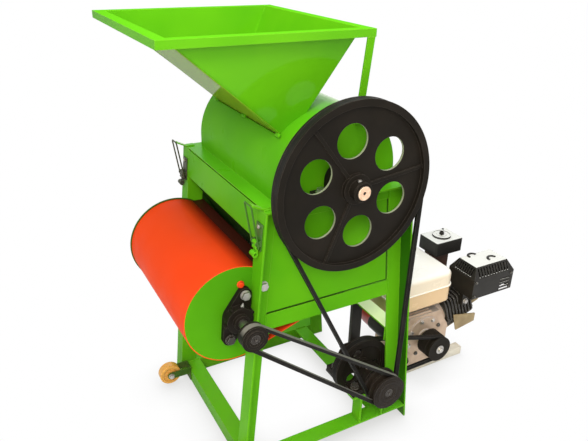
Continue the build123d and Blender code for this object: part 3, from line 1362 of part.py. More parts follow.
# Engine block: one casting of crankcase, finned cylinder and tank brackets
CASE_FOOT_TOP = BED_TOP + CASE_FOOT
CASE_LENGTH = CASE_NEAR + CASE_FAR
FIN_LAST = FIN_FIRST + (FINS - 1) * FIN_PITCH + FIN
FIN_END = polar(polar(ENGINE, FIN_LAST, CYLINDER_LEAN), FIN_DEPTH / 2, CYLINDER_LEAN - 90)
with BuildPart() as crankcase:
    with BuildSketch(floor_plane(BED_TOP)):
        with Locations((ENGINE_X, (CASE_FAR - CASE_NEAR) / 2)):
            RectangleRounded(CASE_FOOT_LENGTH, CASE_LENGTH, CASE_CORNER)
    extrude(amount=CASE_FOOT)
    block = outline(
        side_plane(CASE_FAR),
        (CASE_LEFT, CASE_FOOT_TOP),
        (CASE_RIGHT - CASE_CORNER, CASE_FOOT_TOP),
        (CASE_RIGHT, CASE_FOOT_TOP + 2 * CASE_CORNER),
        (CASE_RIGHT, ENGINE_Z + CASE_CORNER),
        (CASE_RIGHT - 3 * CASE_CORNER, CASE_TOP),
        (CASE_LEFT + 2 * CASE_CORNER, CASE_TOP),
        (CASE_LEFT, CASE_TOP - 2 * CASE_CORNER),
    )
    extrude(block, amount=CASE_LENGTH)
    for bracket_x in (CASE_LEFT + 2 * CASE_CORNER, CASE_RIGHT - 3 * CASE_CORNER - TANK_BRACKET):
        bracket = rectangle(
            side_plane(-CYLINDER_Y + TANK_BRACKET_DEPTH / 2),
            bracket_x,
            bracket_x + TANK_BRACKET,
            CASE_TOP - CASE_CORNER,
            TANK_LOW,
        )
        extrude(bracket, amount=TANK_BRACKET_DEPTH)
    with BuildSketch(cylinder_plane(0)):
        Circle(CYLINDER_R)
    extrude(amount=FIN_LAST)
    web = outline(
        side_plane(CYLINDER_WEB_HALF - CYLINDER_Y),
        (CASE_RIGHT - CASE_CORNER, ENGINE_Z),
        (CASE_RIGHT - CASE_CORNER, ENGINE_Z - CYLINDER_WEB),
        FIN_END,
    )
    extrude(web, amount=2 * CYLINDER_WEB_HALF)
    for i in range(FINS):
        with BuildSketch(cylinder_plane(FIN_FIRST + i * FIN_PITCH)):
            RectangleRounded(FIN_WIDTH, FIN_DEPTH, CASE_CORNER)
        extrude(amount=FIN)
    extrude(discs(side_plane(-CASE_NEAR), CASE_COVER_R, ENGINE), amount=CASE_COVER)
    extrude(discs(side_plane(-CASE_NEAR), CASE_BOSS_R, ENGINE), amount=2 * CASE_COVER)
    extrude(
        discs(side_plane(CASE_FAR), CRANK_D / 2 + RUNNING_FIT, ENGINE),
        amount=CASE_LENGTH + 2 * CASE_COVER,
        mode=Mode.SUBTRACT,
    )
    extrude(
        discs(floor_plane(BED_TOP), BOLT_HOLE_D / 2, *BED_BOLT_PLACES),
        amount=CASE_FOOT,
        mode=Mode.SUBTRACT,
    )
    head_room = floor_plane(CASE_FOOT_TOP)
    extrude(discs(head_room, WASHER_D / 2 + WASHER, *BED_BOLT_PLACES), amount=WASHER_D, mode=Mode.SUBTRACT)
crankcase.part.label = "crankcase"
export_step(crankcase.part, "parts/crankcase.step")

# Rocker cover on the cylinder's end
with BuildPart() as rocker_cover:
    with BuildSketch(cylinder_plane(FIN_LAST)):
        RectangleRounded(ROCKER_WIDTH, ROCKER_DEPTH, CASE_CORNER)
    extrude(amount=ROCKER)
    outer_edges = rocker_cover.faces().sort_by(Axis.X)[-1].edges()
    fillet(outer_edges, radius=EDGE_ROUND)
rocker_cover.part.label = "rocker_cover"
export_step(rocker_cover.part, "parts/rocker_cover.step")

# Crankshaft with the drive pulley at the near end and the flywheel at the far end
CRANK_NEAR = ENGINE_BELT_Y + DRIVEN_WIDTH / 2
CASE_FACE = CASE_NEAR + 2 * CASE_COVER
with BuildPart() as crankshaft:
    extrude(discs(side_plane(CRANK_FAR), CRANK_D / 2, ENGINE), amount=CRANK_FAR + CRANK_NEAR)
crankshaft.part.label = "crankshaft"
export_step(crankshaft.part, "parts/crankshaft.step")

with BuildPart() as engine_pulley:
    rim = grooved_rim(
        CRANK_NEAR,
        CASE_FACE + ENGINE_PULLEY_GAP,
        ENGINE_PULLEY_R,
        CRANK_D / 2 + RUNNING_FIT,
        ENGINE_BELT_Y,
    )
    revolve(outline(shaft_plane(*ENGINE), *rim), axis=shaft_axis(*ENGINE))
engine_pulley.part.label = "engine_pulley"
export_step(engine_pulley.part, "parts/engine_pulley.step")

with BuildPart() as flywheel:
    extrude(discs(side_plane(FLYWHEEL_Y + FLYWHEEL), FLYWHEEL_R, ENGINE), amount=FLYWHEEL)
    extrude(
        discs(side_plane(FLYWHEEL_Y + FLYWHEEL), CRANK_D / 2 + RUNNING_FIT, ENGINE),
        amount=FLYWHEEL,
        mode=Mode.SUBTRACT,
    )
flywheel.part.label = "flywheel"
export_step(flywheel.part, "parts/flywheel.step")


def shroud_outline(plane, wall):
    """Round fan case drawn out towards the cylinder, taken in by a wall."""
    with BuildSketch(plane) as face:
        with Locations(ENGINE):
            Circle(SHROUD_R - wall)
        with Locations((ENGINE_X + SHROUD_DUCT_X, ENGINE_Z + SHROUD_DUCT_Z)):
            Circle(SHROUD_DUCT_R - wall)
        make_hull()
    return face.sketch


# Red pressed-steel shroud round the flywheel, open to the crankcase, with an eye for the air
with BuildPart() as fan_shroud:
    extrude(shroud_outline(side_plane(SHROUD_FAR), 0), amount=SHROUD_FAR - CASE_FAR)
    extrude(
        shroud_outline(side_plane(SHROUD_FAR - SHROUD_WALL), SHROUD_WALL),
        amount=SHROUD_FAR - CASE_FAR,
        mode=Mode.SUBTRACT,
    )
    extrude(discs(side_plane(SHROUD_FAR), SHROUD_EYE_R, ENGINE), amount=SHROUD_WALL, mode=Mode.SUBTRACT)
fan_shroud.part.label = "fan_shroud"
export_step(fan_shroud.part, "parts/fan_shroud.step")

# Recoil starter: a domed cover over the shroud's eye
with BuildPart() as recoil_starter:
    dome = outline(
        shaft_plane(*ENGINE),
        (SHROUD_FAR, STARTER_R),
        (SHROUD_FAR + STARTER_RIM, STARTER_R),
        (STARTER_FAR, STARTER_NOSE_R),
        (STARTER_FAR, 0),
        (STARTER_FAR - SHROUD_WALL, 0),
        (STARTER_FAR - SHROUD_WALL, STARTER_NOSE_R - SHROUD_WALL),
        (SHROUD_FAR + STARTER_RIM - SHROUD_WALL, STARTER_R - SHROUD_WALL),
        (SHROUD_FAR, STARTER_R - SHROUD_WALL),
    )
    revolve(dome, axis=shaft_axis(*ENGINE))
recoil_starter.part.label = "recoil_starter"
export_step(recoil_starter.part, "parts/recoil_starter.step")

# Electric starter motor beside the crankcase
with BuildPart() as starter_motor:
    extrude(discs(side_plane(-MOTOR_FAR), MOTOR_R, (MOTOR_X, MOTOR_Z)), amount=MOTOR_NEAR - MOTOR_FAR)
    fillet(starter_motor.edges().filter_by(GeomType.CIRCLE), radius=EDGE_ROUND)
    lug = rectangle(
        side_plane(-MOTOR_FAR - MOTOR_LUG / 2),
        MOTOR_X,
        CASE_LEFT,
        MOTOR_Z - MOTOR_LUG / 2,
        MOTOR_Z + MOTOR_LUG / 2 - EDGE_ROUND,
    )
    extrude(lug, amount=MOTOR_NEAR - MOTOR_FAR - MOTOR_LUG)
starter_motor.part.label = "starter_motor"
export_step(starter_motor.part, "parts/starter_motor.step")

# Fuel tank on the crankcase's brackets, with its neck, and the cap that turns on it
with BuildPart() as fuel_tank:
    with BuildSketch(floor_plane(TANK_LOW)):
        with Locations(((TANK_LEFT + TANK_RIGHT) / 2, (TANK_FAR - TANK_NEAR) / 2)):
            RectangleRounded(TANK_RIGHT - TANK_LEFT, TANK_FAR + TANK_NEAR, TANK_CORNER)
    extrude(amount=TANK_TOP - TANK_LOW)
    chamfer(fuel_tank.faces().sort_by(Axis.Z)[0].edges(), length=TANK_CHAMFER)
    fillet(fuel_tank.faces().sort_by(Axis.Z)[-1].edges(), radius=TANK_CROWN)
    extrude(discs(floor_plane(TANK_TOP), NECK_R, (CAP_X, CAP_Y)), amount=NECK)
fuel_tank.part.label = "fuel_tank"
export_step(fuel_tank.part, "parts/fuel_tank.step")

with BuildPart() as fuel_cap:
    extrude(discs(floor_plane(TANK_TOP + SEAT_GAP), CAP_R, (CAP_X, CAP_Y)), amount=CAP_HEIGHT)
    fillet(fuel_cap.faces().sort_by(Axis.Z)[-1].edges(), radius=CAP_WALL / 2)
    extrude(
        discs(floor_plane(TANK_TOP + SEAT_GAP), NECK_R + RUNNING_FIT, (CAP_X, CAP_Y)),
        amount=NECK,
        mode=Mode.SUBTRACT,
    )
fuel_cap.part.label = "fuel_cap"
export_step(fuel_cap.part, "parts/fuel_cap.step")

# Carburettor on the cylinder's far side, carrying the air-filter box
with BuildPart() as carburettor:
    extrude(
        rectangle(floor_plane(CARB_LOW), CARB_LEFT, CARB_RIGHT, FIN_WIDTH / 2 - CYLINDER_Y, CARB_FAR),
        amount=FILTER_LOW - CARB_LOW,
    )
    fillet(carburettor.edges().filter_by(Axis.Z), radius=EDGE_ROUND)
carburettor.part.label = "carburettor"
export_step(carburettor.part, "parts/carburettor.step")

FILTER_X = (FILTER_LEFT + FILTER_RIGHT) / 2
FILTER_Y = (FILTER_FAR - FILTER_NEAR) / 2
with BuildPart() as air_filter:
    with BuildSketch(floor_plane(FILTER_LOW)):
        with Locations((FILTER_X, FILTER_Y)):
            RectangleRounded(FILTER_RIGHT - FILTER_LEFT, FILTER_FAR + FILTER_NEAR, EDGE_ROUND)
    extrude(amount=FILTER_TOP - FILTER_LOW)
    fillet(air_filter.faces().sort_by(Axis.Z)[-1].edges(), radius=EDGE_ROUND / 2)
    extrude(discs(floor_plane(FILTER_TOP), FILTER_DISH_R, (FILTER_X, FILTER_Y)), amount=FILTER_DISH)
    extrude(
        discs(floor_plane(FILTER_TOP), FILTER_STUD_R, (FILTER_X, FILTER_Y)),
        amount=FILTER_DISH + FILTER_STUD,
    )
air_filter.part.label = "air_filter"
export_step(air_filter.part, "parts/air_filter.step")

# Muffler with its exhaust elbow from the cylinder, under a slotted guard
GUARD_X = (GUARD_LEFT + GUARD_RIGHT) / 2
GUARD_Y = -(GUARD_NEAR + GUARD_FAR) / 2
SHOULDER_LOW = GUARD_TOP - GUARD_SHOULDER
SHOULDER_SLOPE = GUARD_SHOULDER_SET / GUARD_SHOULDER


def shoulder_slot(plane, foot):
    """Cut through the guard's sloping shoulder, which starts at its foot and leans to the positive side."""
    high = GUARD_SHOULDER - GUARD_SLOT_END
    low_x = foot + GUARD_SLOT_END * SHOULDER_SLOPE
    high_x = foot + high * SHOULDER_SLOPE
    return outline(
        plane,
        (low_x - SHEET, SHOULDER_LOW + GUARD_SLOT_END),
        (low_x + 2 * SHEET, SHOULDER_LOW + GUARD_SLOT_END),
        (high_x + 2 * SHEET, SHOULDER_LOW + high),
        (high_x - SHEET, SHOULDER_LOW + high),
    )


with BuildPart() as muffler:
    with BuildSketch(floor_plane(MUFFLER_LOW)):
        with Locations((GUARD_X, GUARD_Y)):
            RectangleRounded(
                GUARD_RIGHT - GUARD_LEFT - 2 * MUFFLER_GAP,
                GUARD_NEAR - GUARD_FAR - 2 * MUFFLER_GAP,
                MUFFLER_CORNER,
            )
    extrude(amount=GUARD_TOP - SHEET - MUFFLER_GAP - MUFFLER_LOW)
    post_top = GUARD_TOP - SHEET
    posts = [(GUARD_X + end * (GUARD_X - GUARD_LEFT) / 2, GUARD_Y) for end in SIDES]
    extrude(discs(floor_plane(MUFFLER_LOW), MUFFLER_POST_R, *posts), amount=post_top - MUFFLER_LOW)
    elbow = rectangle(
        side_plane(-CYLINDER_Y - FIN_WIDTH / 2),
        EXHAUST_X - EXHAUST / 2,
        EXHAUST_X + EXHAUST / 2,
        EXHAUST_LOW,
        MUFFLER_LOW,
    )
    extrude(elbow, amount=EXHAUST_DEPTH)
muffler.part.label = "muffler"
export_step(muffler.part, "parts/muffler.step")

with BuildPart() as muffler_guard:
    extrude(
        rectangle(floor_plane(GUARD_LOW), GUARD_LEFT, GUARD_RIGHT, -GUARD_NEAR, -GUARD_FAR),
        amount=SHOULDER_LOW - GUARD_LOW,
    )
    extrude(
        rectangle(floor_plane(SHOULDER_LOW), GUARD_LEFT, GUARD_RIGHT, -GUARD_NEAR, -GUARD_FAR),
        amount=GUARD_SHOULDER,
        taper=math.degrees(math.atan(SHOULDER_SLOPE)),
    )
    offset(amount=-SHEET, openings=muffler_guard.faces().sort_by(Axis.Z)[0])
    slot_run = GUARD_RIGHT - GUARD_LEFT - 2 * GUARD_SHOULDER_SET
    for i in range(GUARD_SLOTS):
        slot_x = GUARD_LEFT + GUARD_SHOULDER_SET + (i + 0.5) * slot_run / GUARD_SLOTS
        slot = shoulder_slot(cross_plane(slot_x - GUARD_SLOT / 2), -GUARD_NEAR)
        extrude(slot, amount=GUARD_SLOT, mode=Mode.SUBTRACT)
    slot_run = GUARD_NEAR - GUARD_FAR - 2 * GUARD_SHOULDER_SET
    for i in range(GUARD_LEFT_SLOTS):
        slot_y = -GUARD_NEAR + GUARD_SHOULDER_SET + (i + 0.5) * slot_run / GUARD_LEFT_SLOTS
        slot = shoulder_slot(side_plane(slot_y + GUARD_SLOT / 2), GUARD_LEFT)
        extrude(slot, amount=GUARD_SLOT, mode=Mode.SUBTRACT)
    for i in range(GUARD_LOUVRES):
        louvre_right = GUARD_RIGHT - GUARD_LOUVRE_SET
        louvre_low = GUARD_LOW + GUARD_SLOT + i * GUARD_LOUVRE_PITCH
        louvre = rectangle(
            side_plane(SHEET - GUARD_NEAR),
            louvre_right - GUARD_LOUVRE,
            louvre_right,
            louvre_low,
            louvre_low + GUARD_SLOT,
        )
        extrude(louvre, amount=SHEET, mode=Mode.SUBTRACT)
muffler_guard.part.label = "muffler_guard"
export_step(muffler_guard.part, "parts/muffler_guard.step")


# Hexagon bolts with washers and nuts: bearings, engine feet and fan-end legs
def standing_bolts(places, top, grip):
    """Sketch and length of each step of upright bolts: washer, head, shank and nut."""
    head_low = top + WASHER
    nut_low = top - grip - BOLT_HEAD
    return (
        (discs(floor_plane(top), WASHER_D / 2, *places), WASHER),
        (hexagons(floor_plane(head_low), BOLT_HEAD_D, *places), BOLT_HEAD),
        (discs(floor_plane(nut_low), BOLT_D / 2, *places), grip + BOLT_HEAD + WASHER),
        (hexagons(floor_plane(nut_low), BOLT_HEAD_D, *places), BOLT_HEAD),
    )


def lying_bolts(side, places, outer, grip):
    """Sketch and length of each step of bolts that point out of the frame's side."""
    nut_in = outer - grip - BOLT_HEAD
    return (
        (discs(side_plane(side * outer), WASHER_D / 2, *places), -side * WASHER),
        (hexagons(side_plane(side * (outer + WASHER)), BOLT_HEAD_D, *places), -side * BOLT_HEAD),
        (discs(side_plane(side * nut_in), BOLT_D / 2, *places), -side * (grip + BOLT_HEAD + WASHER)),
        (hexagons(side_plane(side * nut_in), BOLT_HEAD_D, *places), -side * BOLT_HEAD),
    )


with BuildPart() as frame_bolts:
    steps = [
        *standing_bolts(DRUM_BOLTS, FRAME_TOP + PILLOW_FOOT, PILLOW_FOOT + ANGLE_WALL),
        *standing_bolts(JACK_BOLTS, JACK_SEAT + PILLOW_FOOT, PILLOW_FOOT + SEAT),
        *standing_bolts(BED_BOLT_PLACES, CASE_FOOT_TOP, CASE_FOOT + BED_WALL),
    ]
    for side in SIDES:
        steps.extend(lying_bolts(side, FLANGE_BOLT_PLACES, FRAME_IN + FLANGE, FLANGE + SHEET))
        steps.extend(lying_bolts(side, [LEG_BOLT], FRAME_IN + ANGLE_WALL, ANGLE_WALL + SHEET))
    for face, amount in steps:
        extrude(face, amount=amount)
frame_bolts.part.label = "frame_bolts"
export_step(frame_bolts.part, "parts/frame_bolts.step")
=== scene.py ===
import json
import math

import bpy
from mathutils import Matrix, Vector


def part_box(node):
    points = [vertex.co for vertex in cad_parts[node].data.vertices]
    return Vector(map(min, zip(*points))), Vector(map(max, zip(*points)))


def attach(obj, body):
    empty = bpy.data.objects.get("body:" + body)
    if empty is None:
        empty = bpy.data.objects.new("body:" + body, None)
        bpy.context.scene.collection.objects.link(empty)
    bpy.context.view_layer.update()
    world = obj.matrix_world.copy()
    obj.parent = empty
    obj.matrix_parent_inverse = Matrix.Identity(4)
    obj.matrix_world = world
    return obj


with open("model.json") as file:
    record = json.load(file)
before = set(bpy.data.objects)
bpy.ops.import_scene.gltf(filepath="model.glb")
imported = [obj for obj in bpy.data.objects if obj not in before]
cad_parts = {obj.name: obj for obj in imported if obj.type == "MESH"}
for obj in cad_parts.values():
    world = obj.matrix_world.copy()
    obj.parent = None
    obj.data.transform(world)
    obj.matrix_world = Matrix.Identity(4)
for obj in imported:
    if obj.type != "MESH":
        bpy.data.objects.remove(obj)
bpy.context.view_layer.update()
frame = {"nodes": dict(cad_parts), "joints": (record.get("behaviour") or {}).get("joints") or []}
parts = frame["nodes"]
axles = {joint["name"]: Vector(joint["pos_m"]) for joint in frame["joints"]}

# Studio: a seamless white floor under soft light, seen from the drive side and the blower end,
# a little above the hopper's rim, as the machine stands in its picture.
CAMERA_PLACE = (-0.78092, -1.13176, 1.145)
CAMERA_TURN = (64.882, -1.296, -28.834)
CAMERA_LENS = 36.95
CAMERA_FILM = 36.0
CAMERA_SIGHT = 200.0
FLOOR_REACH = 60.0
FLOOR_COLOUR = (0.90, 0.90, 0.895)
FLOOR_ROUGHNESS = 0.9
SHADE_COLOUR = (0.62, 0.62, 0.60)
SHADE_REACH = 0.10
SKY_LIGHT = 0.42
SKY_TINT = (0.92, 1.0, 0.97)
WHITE = (1.0, 1.0, 1.0)
WARM = (1.0, 0.90, 0.74)
LAMP_AIM = Vector((0.0, 0.0, 0.45))
LAMPS = (
    ("key_lamp", (-1.8, -1.8, 2.6), 1.0, 50.0, WARM),
    ("top_lamp", (-0.1, -0.4, 3.0), 1.8, 42.0, WHITE),
    ("fill_lamp", (-0.85, -1.45, 1.30), 0.6, 8.0, WARM),
    ("side_lamp", (1.9, -1.6, 1.7), 1.5, 6.0, WHITE),
    ("back_lamp", (0.6, 2.3, 2.2), 1.8, 14.0, WHITE),
)


def give(tree, socket, value):
    """Feeds a socket from another one, or sets it to a plain value; colours are given without alpha."""
    if isinstance(value, bpy.types.NodeSocket):
        tree.links.new(value, socket)
    elif socket.type == "RGBA":
        socket.default_value = (*value, 1.0)
    else:
        socket.default_value = value


def node(tree, kind, *ends, **values):
    """Adds one shader node; values are its properties or sockets by name, ends its sockets in order."""
    made = tree.nodes.new("ShaderNode" + kind)
    for name, value in values.items():
        label = name.replace("_", " ")
        if label in made.inputs:
            give(tree, made.inputs[label], value)
        else:
            setattr(made, name, value)
    for socket, value in zip(made.inputs, ends):
        give(tree, socket, value)
    return made


def reckon(tree, operation, *ends, **values):
    """One sum on the values at its ends."""
    return node(tree, "Math", *ends, operation=operation, **values).outputs[0]


def ramp(tree, value, **limits):
    """A value carried over from one range to another."""
    return node(tree, "MapRange", Value=value, **limits).outputs["Result"]


def blend(tree, mask, under, over):
    """Colour that goes from under to over with a mask; a mix node has its colours at 6 and 7."""
    made = node(tree, "Mix", data_type="RGBA", Factor=mask)
    give(tree, made.inputs[6], under)
    give(tree, made.inputs[7], over)
    return made.outputs[2]


def seen_rays(tree):
    """1 for rays from the camera, mirrors and glass, which see the plain white backdrop."""
    rays = node(tree, "LightPath").outputs
    seen = reckon(tree, "MAXIMUM", rays["Is Camera Ray"], rays["Is Glossy Ray"])
    return reckon(tree, "MAXIMUM", seen, rays["Is Transmission Ray"])


bpy.ops.object.camera_add(location=CAMERA_PLACE, rotation=[math.radians(a) for a in CAMERA_TURN])
camera = bpy.context.object
camera.data.lens = CAMERA_LENS
camera.data.sensor_width = CAMERA_FILM
camera.data.clip_end = CAMERA_SIGHT
bpy.context.scene.camera = camera
bpy.context.scene.view_settings.view_transform = "Standard"

world = bpy.data.worlds.new("studio")
world.use_nodes = True
bpy.context.scene.world = world
sky = world.node_tree
background = sky.nodes["Background"].inputs
backdrop_rays = seen_rays(sky)
give(sky, background["Strength"], ramp(sky, backdrop_rays, To_Min=SKY_LIGHT, To_Max=1.0))
give(sky, background["Color"], blend(sky, backdrop_rays, SKY_TINT, WHITE))

bpy.ops.mesh.primitive_plane_add(size=FLOOR_REACH, location=(0.0, 0.0, 0.0))
floor = bpy.context.object
floor.name = "studio_floor"
paper = bpy.data.materials.new("studio_paper")
paper.use_nodes = True
sheet = paper.node_tree
matt = sheet.nodes["Principled BSDF"]
give(sheet, matt.inputs["Base Color"], FLOOR_COLOUR)
give(sheet, matt.inputs["Roughness"], FLOOR_ROUGHNESS)
shade = node(sheet, "AmbientOcclusion", samples=8, Distance=SHADE_REACH)
glow = node(sheet, "Emission", Color=blend(sheet, shade.outputs["AO"], SHADE_COLOUR, WHITE))
paper_mix = node(sheet, "MixShader", seen_rays(sheet), matt.outputs["BSDF"], glow.outputs["Emission"])
give(sheet, sheet.nodes["Material Output"].inputs["Surface"], paper_mix.outputs["Shader"])
floor.data.materials.append(paper)

for name, place, size, power, tint in LAMPS:
    bpy.ops.object.light_add(type="AREA", location=place)
    lamp = bpy.context.object
    lamp.name = name
    lamp.data.size = size
    lamp.data.energy = power
    lamp.data.color = tint
    lamp.rotation_euler = (LAMP_AIM - Vector(place)).to_track_quat("-Z", "Y").to_euler()


# Frame: 40 mm angle iron, folded sheet panels and rails, welded up and sprayed with one thick coat of
# bright green gloss enamel; the hopper's stays, the blower's far end and one latch get the same coat.
FAR = (0.0, 1.0, 0.0)
UP = (0.0, 0.0, 1.0)
ENGINE_WAY = (1.0, 0.0, 0.0)
LEVEL = (UP, 0.55, 0.95)
BEYOND = 9.0
ANGLE = 0.040
ANGLE_WALL = 0.004
LEG_SLOPE = math.tan(math.radians(5.0))
SKIN_DEPTH = 0.0015
SEAM_SHADE_WIDTH = 0.0024
LEG_SHADOW_INSET = 0.0006
INNER_END = -0.10
GREEN_LIGHT = (0.140, 0.500, 0.008)
GREEN_DEEP = (0.098, 0.420, 0.006)
GREEN_RUBBED = (0.360, 0.760, 0.060)
# Painted light: faces that lie about level get a brighter green, as if lit from above.
GREEN_TOP_PAINTED_LIGHT = (0.130, 0.540, 0.012)
GREEN_PAINTED_HIGHLIGHT = (0.800, 0.980, 0.560)
GREEN_SHADE = (0.012, 0.050, 0.003)
BELT_PAINTED_SHADOW = (0.034, 0.170, 0.005)
DUST_COLOUR = (0.180, 0.150, 0.085)
DUST_DULLS = 0.45
DUST_PATCHES = 14.0
RUB_PATCHES = 60.0
GLOSS_PATCHES = 22.0
COAT_ROUGHNESS = 0.08
RIPPLE_DEPTH = 0.001
GREEN_PIECES = (
    "legs_fan_end top_rails base_rails base_rail_fan base_rail_engine front_strip rear_strip "
    "jackshaft_stand fan_end_far hopper_stays latch_lever_near"
)
NUMBER = "NodeSocketFloat"
COLOUR = "NodeSocketColor"
VECTOR = "NodeSocketVector"


def group(name, inputs, outputs):
    """A shader node group with the sockets of its two ends, which are given by name and kind."""
    made = bpy.data.node_groups.new(name, "ShaderNodeTree")
    for label, kind in inputs.items():
        made.interface.new_socket(label, in_out="INPUT", socket_type=kind)
    for label, kind in outputs.items():
        made.interface.new_socket(label, in_out="OUTPUT", socket_type=kind)
    return made, made.nodes.new("NodeGroupInput").outputs, made.nodes.new("NodeGroupOutput").inputs


def clouds(tree, scale, **values):
    """Soft random patches over the machine."""
    place = node(tree, "TexCoord").outputs["Object"]
    return node(tree, "TexNoise", Vector=place, Scale=scale, **values).outputs["Fac"]


def along(tree, place, way):
    """How far a place, or a facing, reaches along a way."""
    return node(tree, "VectorMath", place, way, operation="DOT_PRODUCT").outputs["Value"]


# Rounded edges: where paint thins and handling rubs it
edge_rub, rub_in, rub_out = group(
    "edge_rub", {"Radius": NUMBER, "Spread": NUMBER}, {"Mask": NUMBER, "Normal": VECTOR}
)
rounded = node(edge_rub, "Bevel", samples=6, Radius=rub_in["Radius"]).outputs["Normal"]
flat = node(edge_rub, "NewGeometry").outputs["Normal"]
bent = reckon(edge_rub, "SUBTRACT", 1.0, along(edge_rub, rounded, flat))
strong = reckon(edge_rub, "MULTIPLY", bent, rub_in["Spread"])
patches = clouds(edge_rub, RUB_PATCHES, Detail=4.0, Roughness=0.65)
give(edge_rub, rub_out["Mask"], reckon(edge_rub, "MULTIPLY", strong, patches, use_clamp=True))
give(edge_rub, rub_out["Normal"], rounded)

# Dust: settles low on the machine, in corners and in uneven patches
dust, dust_in, dust_out = group("dust", {"Amount": NUMBER, "Height": NUMBER}, {"Mask": NUMBER})
above = node(dust, "SeparateXYZ", node(dust, "TexCoord").outputs["Object"]).outputs["Z"]
low_down = ramp(dust, above, From_Max=dust_in["Height"], To_Min=1.0, To_Max=0.12)
grains = clouds(dust, DUST_PATCHES, Detail=6.0, Roughness=0.7)
scattered = ramp(dust, grains, From_Min=0.42, From_Max=0.75)
open_air = node(dust, "AmbientOcclusion", samples=6, Distance=0.03).outputs["AO"]
cornered = ramp(dust, open_air, From_Min=0.35, From_Max=0.95, To_Min=1.0, To_Max=0.0)
settled = reckon(dust, "MULTIPLY", reckon(dust, "ADD", scattered, cornered), low_down)
give(dust, dust_out["Mask"], reckon(dust, "MULTIPLY", settled, dust_in["Amount"], use_clamp=True))

# Mottle: slow change of tone and gloss, with a fine ripple for sprayed paint or a casting's skin
mottle, mottle_in, mottle_out = group(
    "mottle",
    {
        "Light": COLOUR, "Deep": COLOUR, "Tone Scale": NUMBER, "Ripple Scale": NUMBER,
        "Smooth": NUMBER, "Rough": NUMBER,
    },
    {"Color": COLOUR, "Roughness": NUMBER, "Height": NUMBER},
)
tone = ramp(mottle, clouds(mottle, mottle_in["Tone Scale"], Detail=3.0), From_Min=0.3, From_Max=0.7)
give(mottle, mottle_out["Color"], blend(mottle, tone, mottle_in["Light"], mottle_in["Deep"]))
gloss = ramp(
    mottle, clouds(mottle, GLOSS_PATCHES, Detail=5.0), From_Min=0.3, From_Max=0.7,
    To_Min=mottle_in["Smooth"], To_Max=mottle_in["Rough"],
)
give(mottle, mottle_out["Roughness"], gloss)
give(mottle, mottle_out["Height"], clouds(mottle, mottle_in["Ripple Scale"], Detail=2.0))


def band_mask(tree, limits):
    """1 where a place lies between the limits along every given way over the machine, 0 outside."""
    place = node(tree, "TexCoord").outputs["Object"]
    inside = 1.0
    for way, low, high in limits:
        reach = along(tree, place, way)
        for limit, side in ((low, "GREATER_THAN"), (high, "LESS_THAN")):
            inside = reckon(tree, "MULTIPLY", inside, reckon(tree, side, reach, limit))
    return inside


def slope_mask(tree, way, start, end, full=1.0):
    """Goes from 0 to full as a face turns toward a way: 1 looks along it, -1 against it."""
    skin = node(tree, "NewGeometry").outputs["Normal"]
    return ramp(tree, along(tree, skin, way), From_Min=start, From_Max=end, To_Max=full)


def coat(
    name, light, deep, rubbed, smooth, rough, metallic=0.0, tone_scale=5.0, specular=0.25,
    ripple_scale=420.0, ripple=0.05, edge=0.0012, spread=5.0, dusty=0.05, dust_height=0.30,
    bands=(), slopes=(), glossy=None, on="",
):
    """Painted, cast or bare finish: mottled tone, rubbed edges and settled dust over one shader.
    Bands (colour, *limits) are other paint; slopes (colour, way, start, end) bleached or stained faces;
    glossy (way, start, end, weight) gives the faces that a clear coat shines on; on names the solids
    that wear the finish."""
    made = bpy.data.materials.new(name)
    made.use_nodes = True
    tree = made.node_tree
    tones = node(
        tree, "Group", node_tree=mottle, Light=light, Deep=deep, Tone_Scale=tone_scale,
        Ripple_Scale=ripple_scale, Smooth=smooth, Rough=rough,
    ).outputs
    rub = node(tree, "Group", node_tree=edge_rub, Radius=edge, Spread=spread).outputs
    dusted = node(tree, "Group", node_tree=dust, Amount=dusty, Height=dust_height).outputs["Mask"]
    ground = tones["Color"]
    for colour, *turn in slopes:
        ground = blend(tree, slope_mask(tree, *turn), ground, colour)
    bare = metallic
    for colour, *limits in bands:
        mask = band_mask(tree, limits)
        ground = blend(tree, mask, ground, colour)
        if metallic:
            bare = reckon(tree, "SUBTRACT", bare, mask, use_clamp=True)
    worn = blend(tree, rub["Mask"], ground, rubbed)
    bump = node(
        tree, "Bump", Strength=ripple, Distance=RIPPLE_DEPTH, Height=tones["Height"], Normal=rub["Normal"]
    )
    shader = tree.nodes["Principled BSDF"].inputs
    give(tree, shader["Base Color"], blend(tree, dusted, worn, DUST_COLOUR))
    give(tree, shader["Roughness"], reckon(tree, "MULTIPLY_ADD", dusted, DUST_DULLS, tones["Roughness"]))
    give(tree, shader["Metallic"], bare)
    give(tree, shader["Normal"], bump.outputs["Normal"])
    give(tree, shader["Specular IOR Level"], specular)
    give(tree, shader["Coat Roughness"], COAT_ROUGHNESS)
    if glossy:
        give(tree, shader["Coat Weight"], slope_mask(tree, *glossy))
    for wearer in on.split():
        parts[wearer].data.materials.clear()
        parts[wearer].data.materials.append(made)
    return made


def green_coat(name, dusty=0.10, **marks):
    """The frame's green enamel, with the dust and the marks of one piece."""
    return coat(
        name, GREEN_LIGHT, GREEN_DEEP, GREEN_RUBBED, smooth=0.26, rough=0.40, specular=0.03,
        dusty=dusty, dust_height=0.20, **marks,
    )


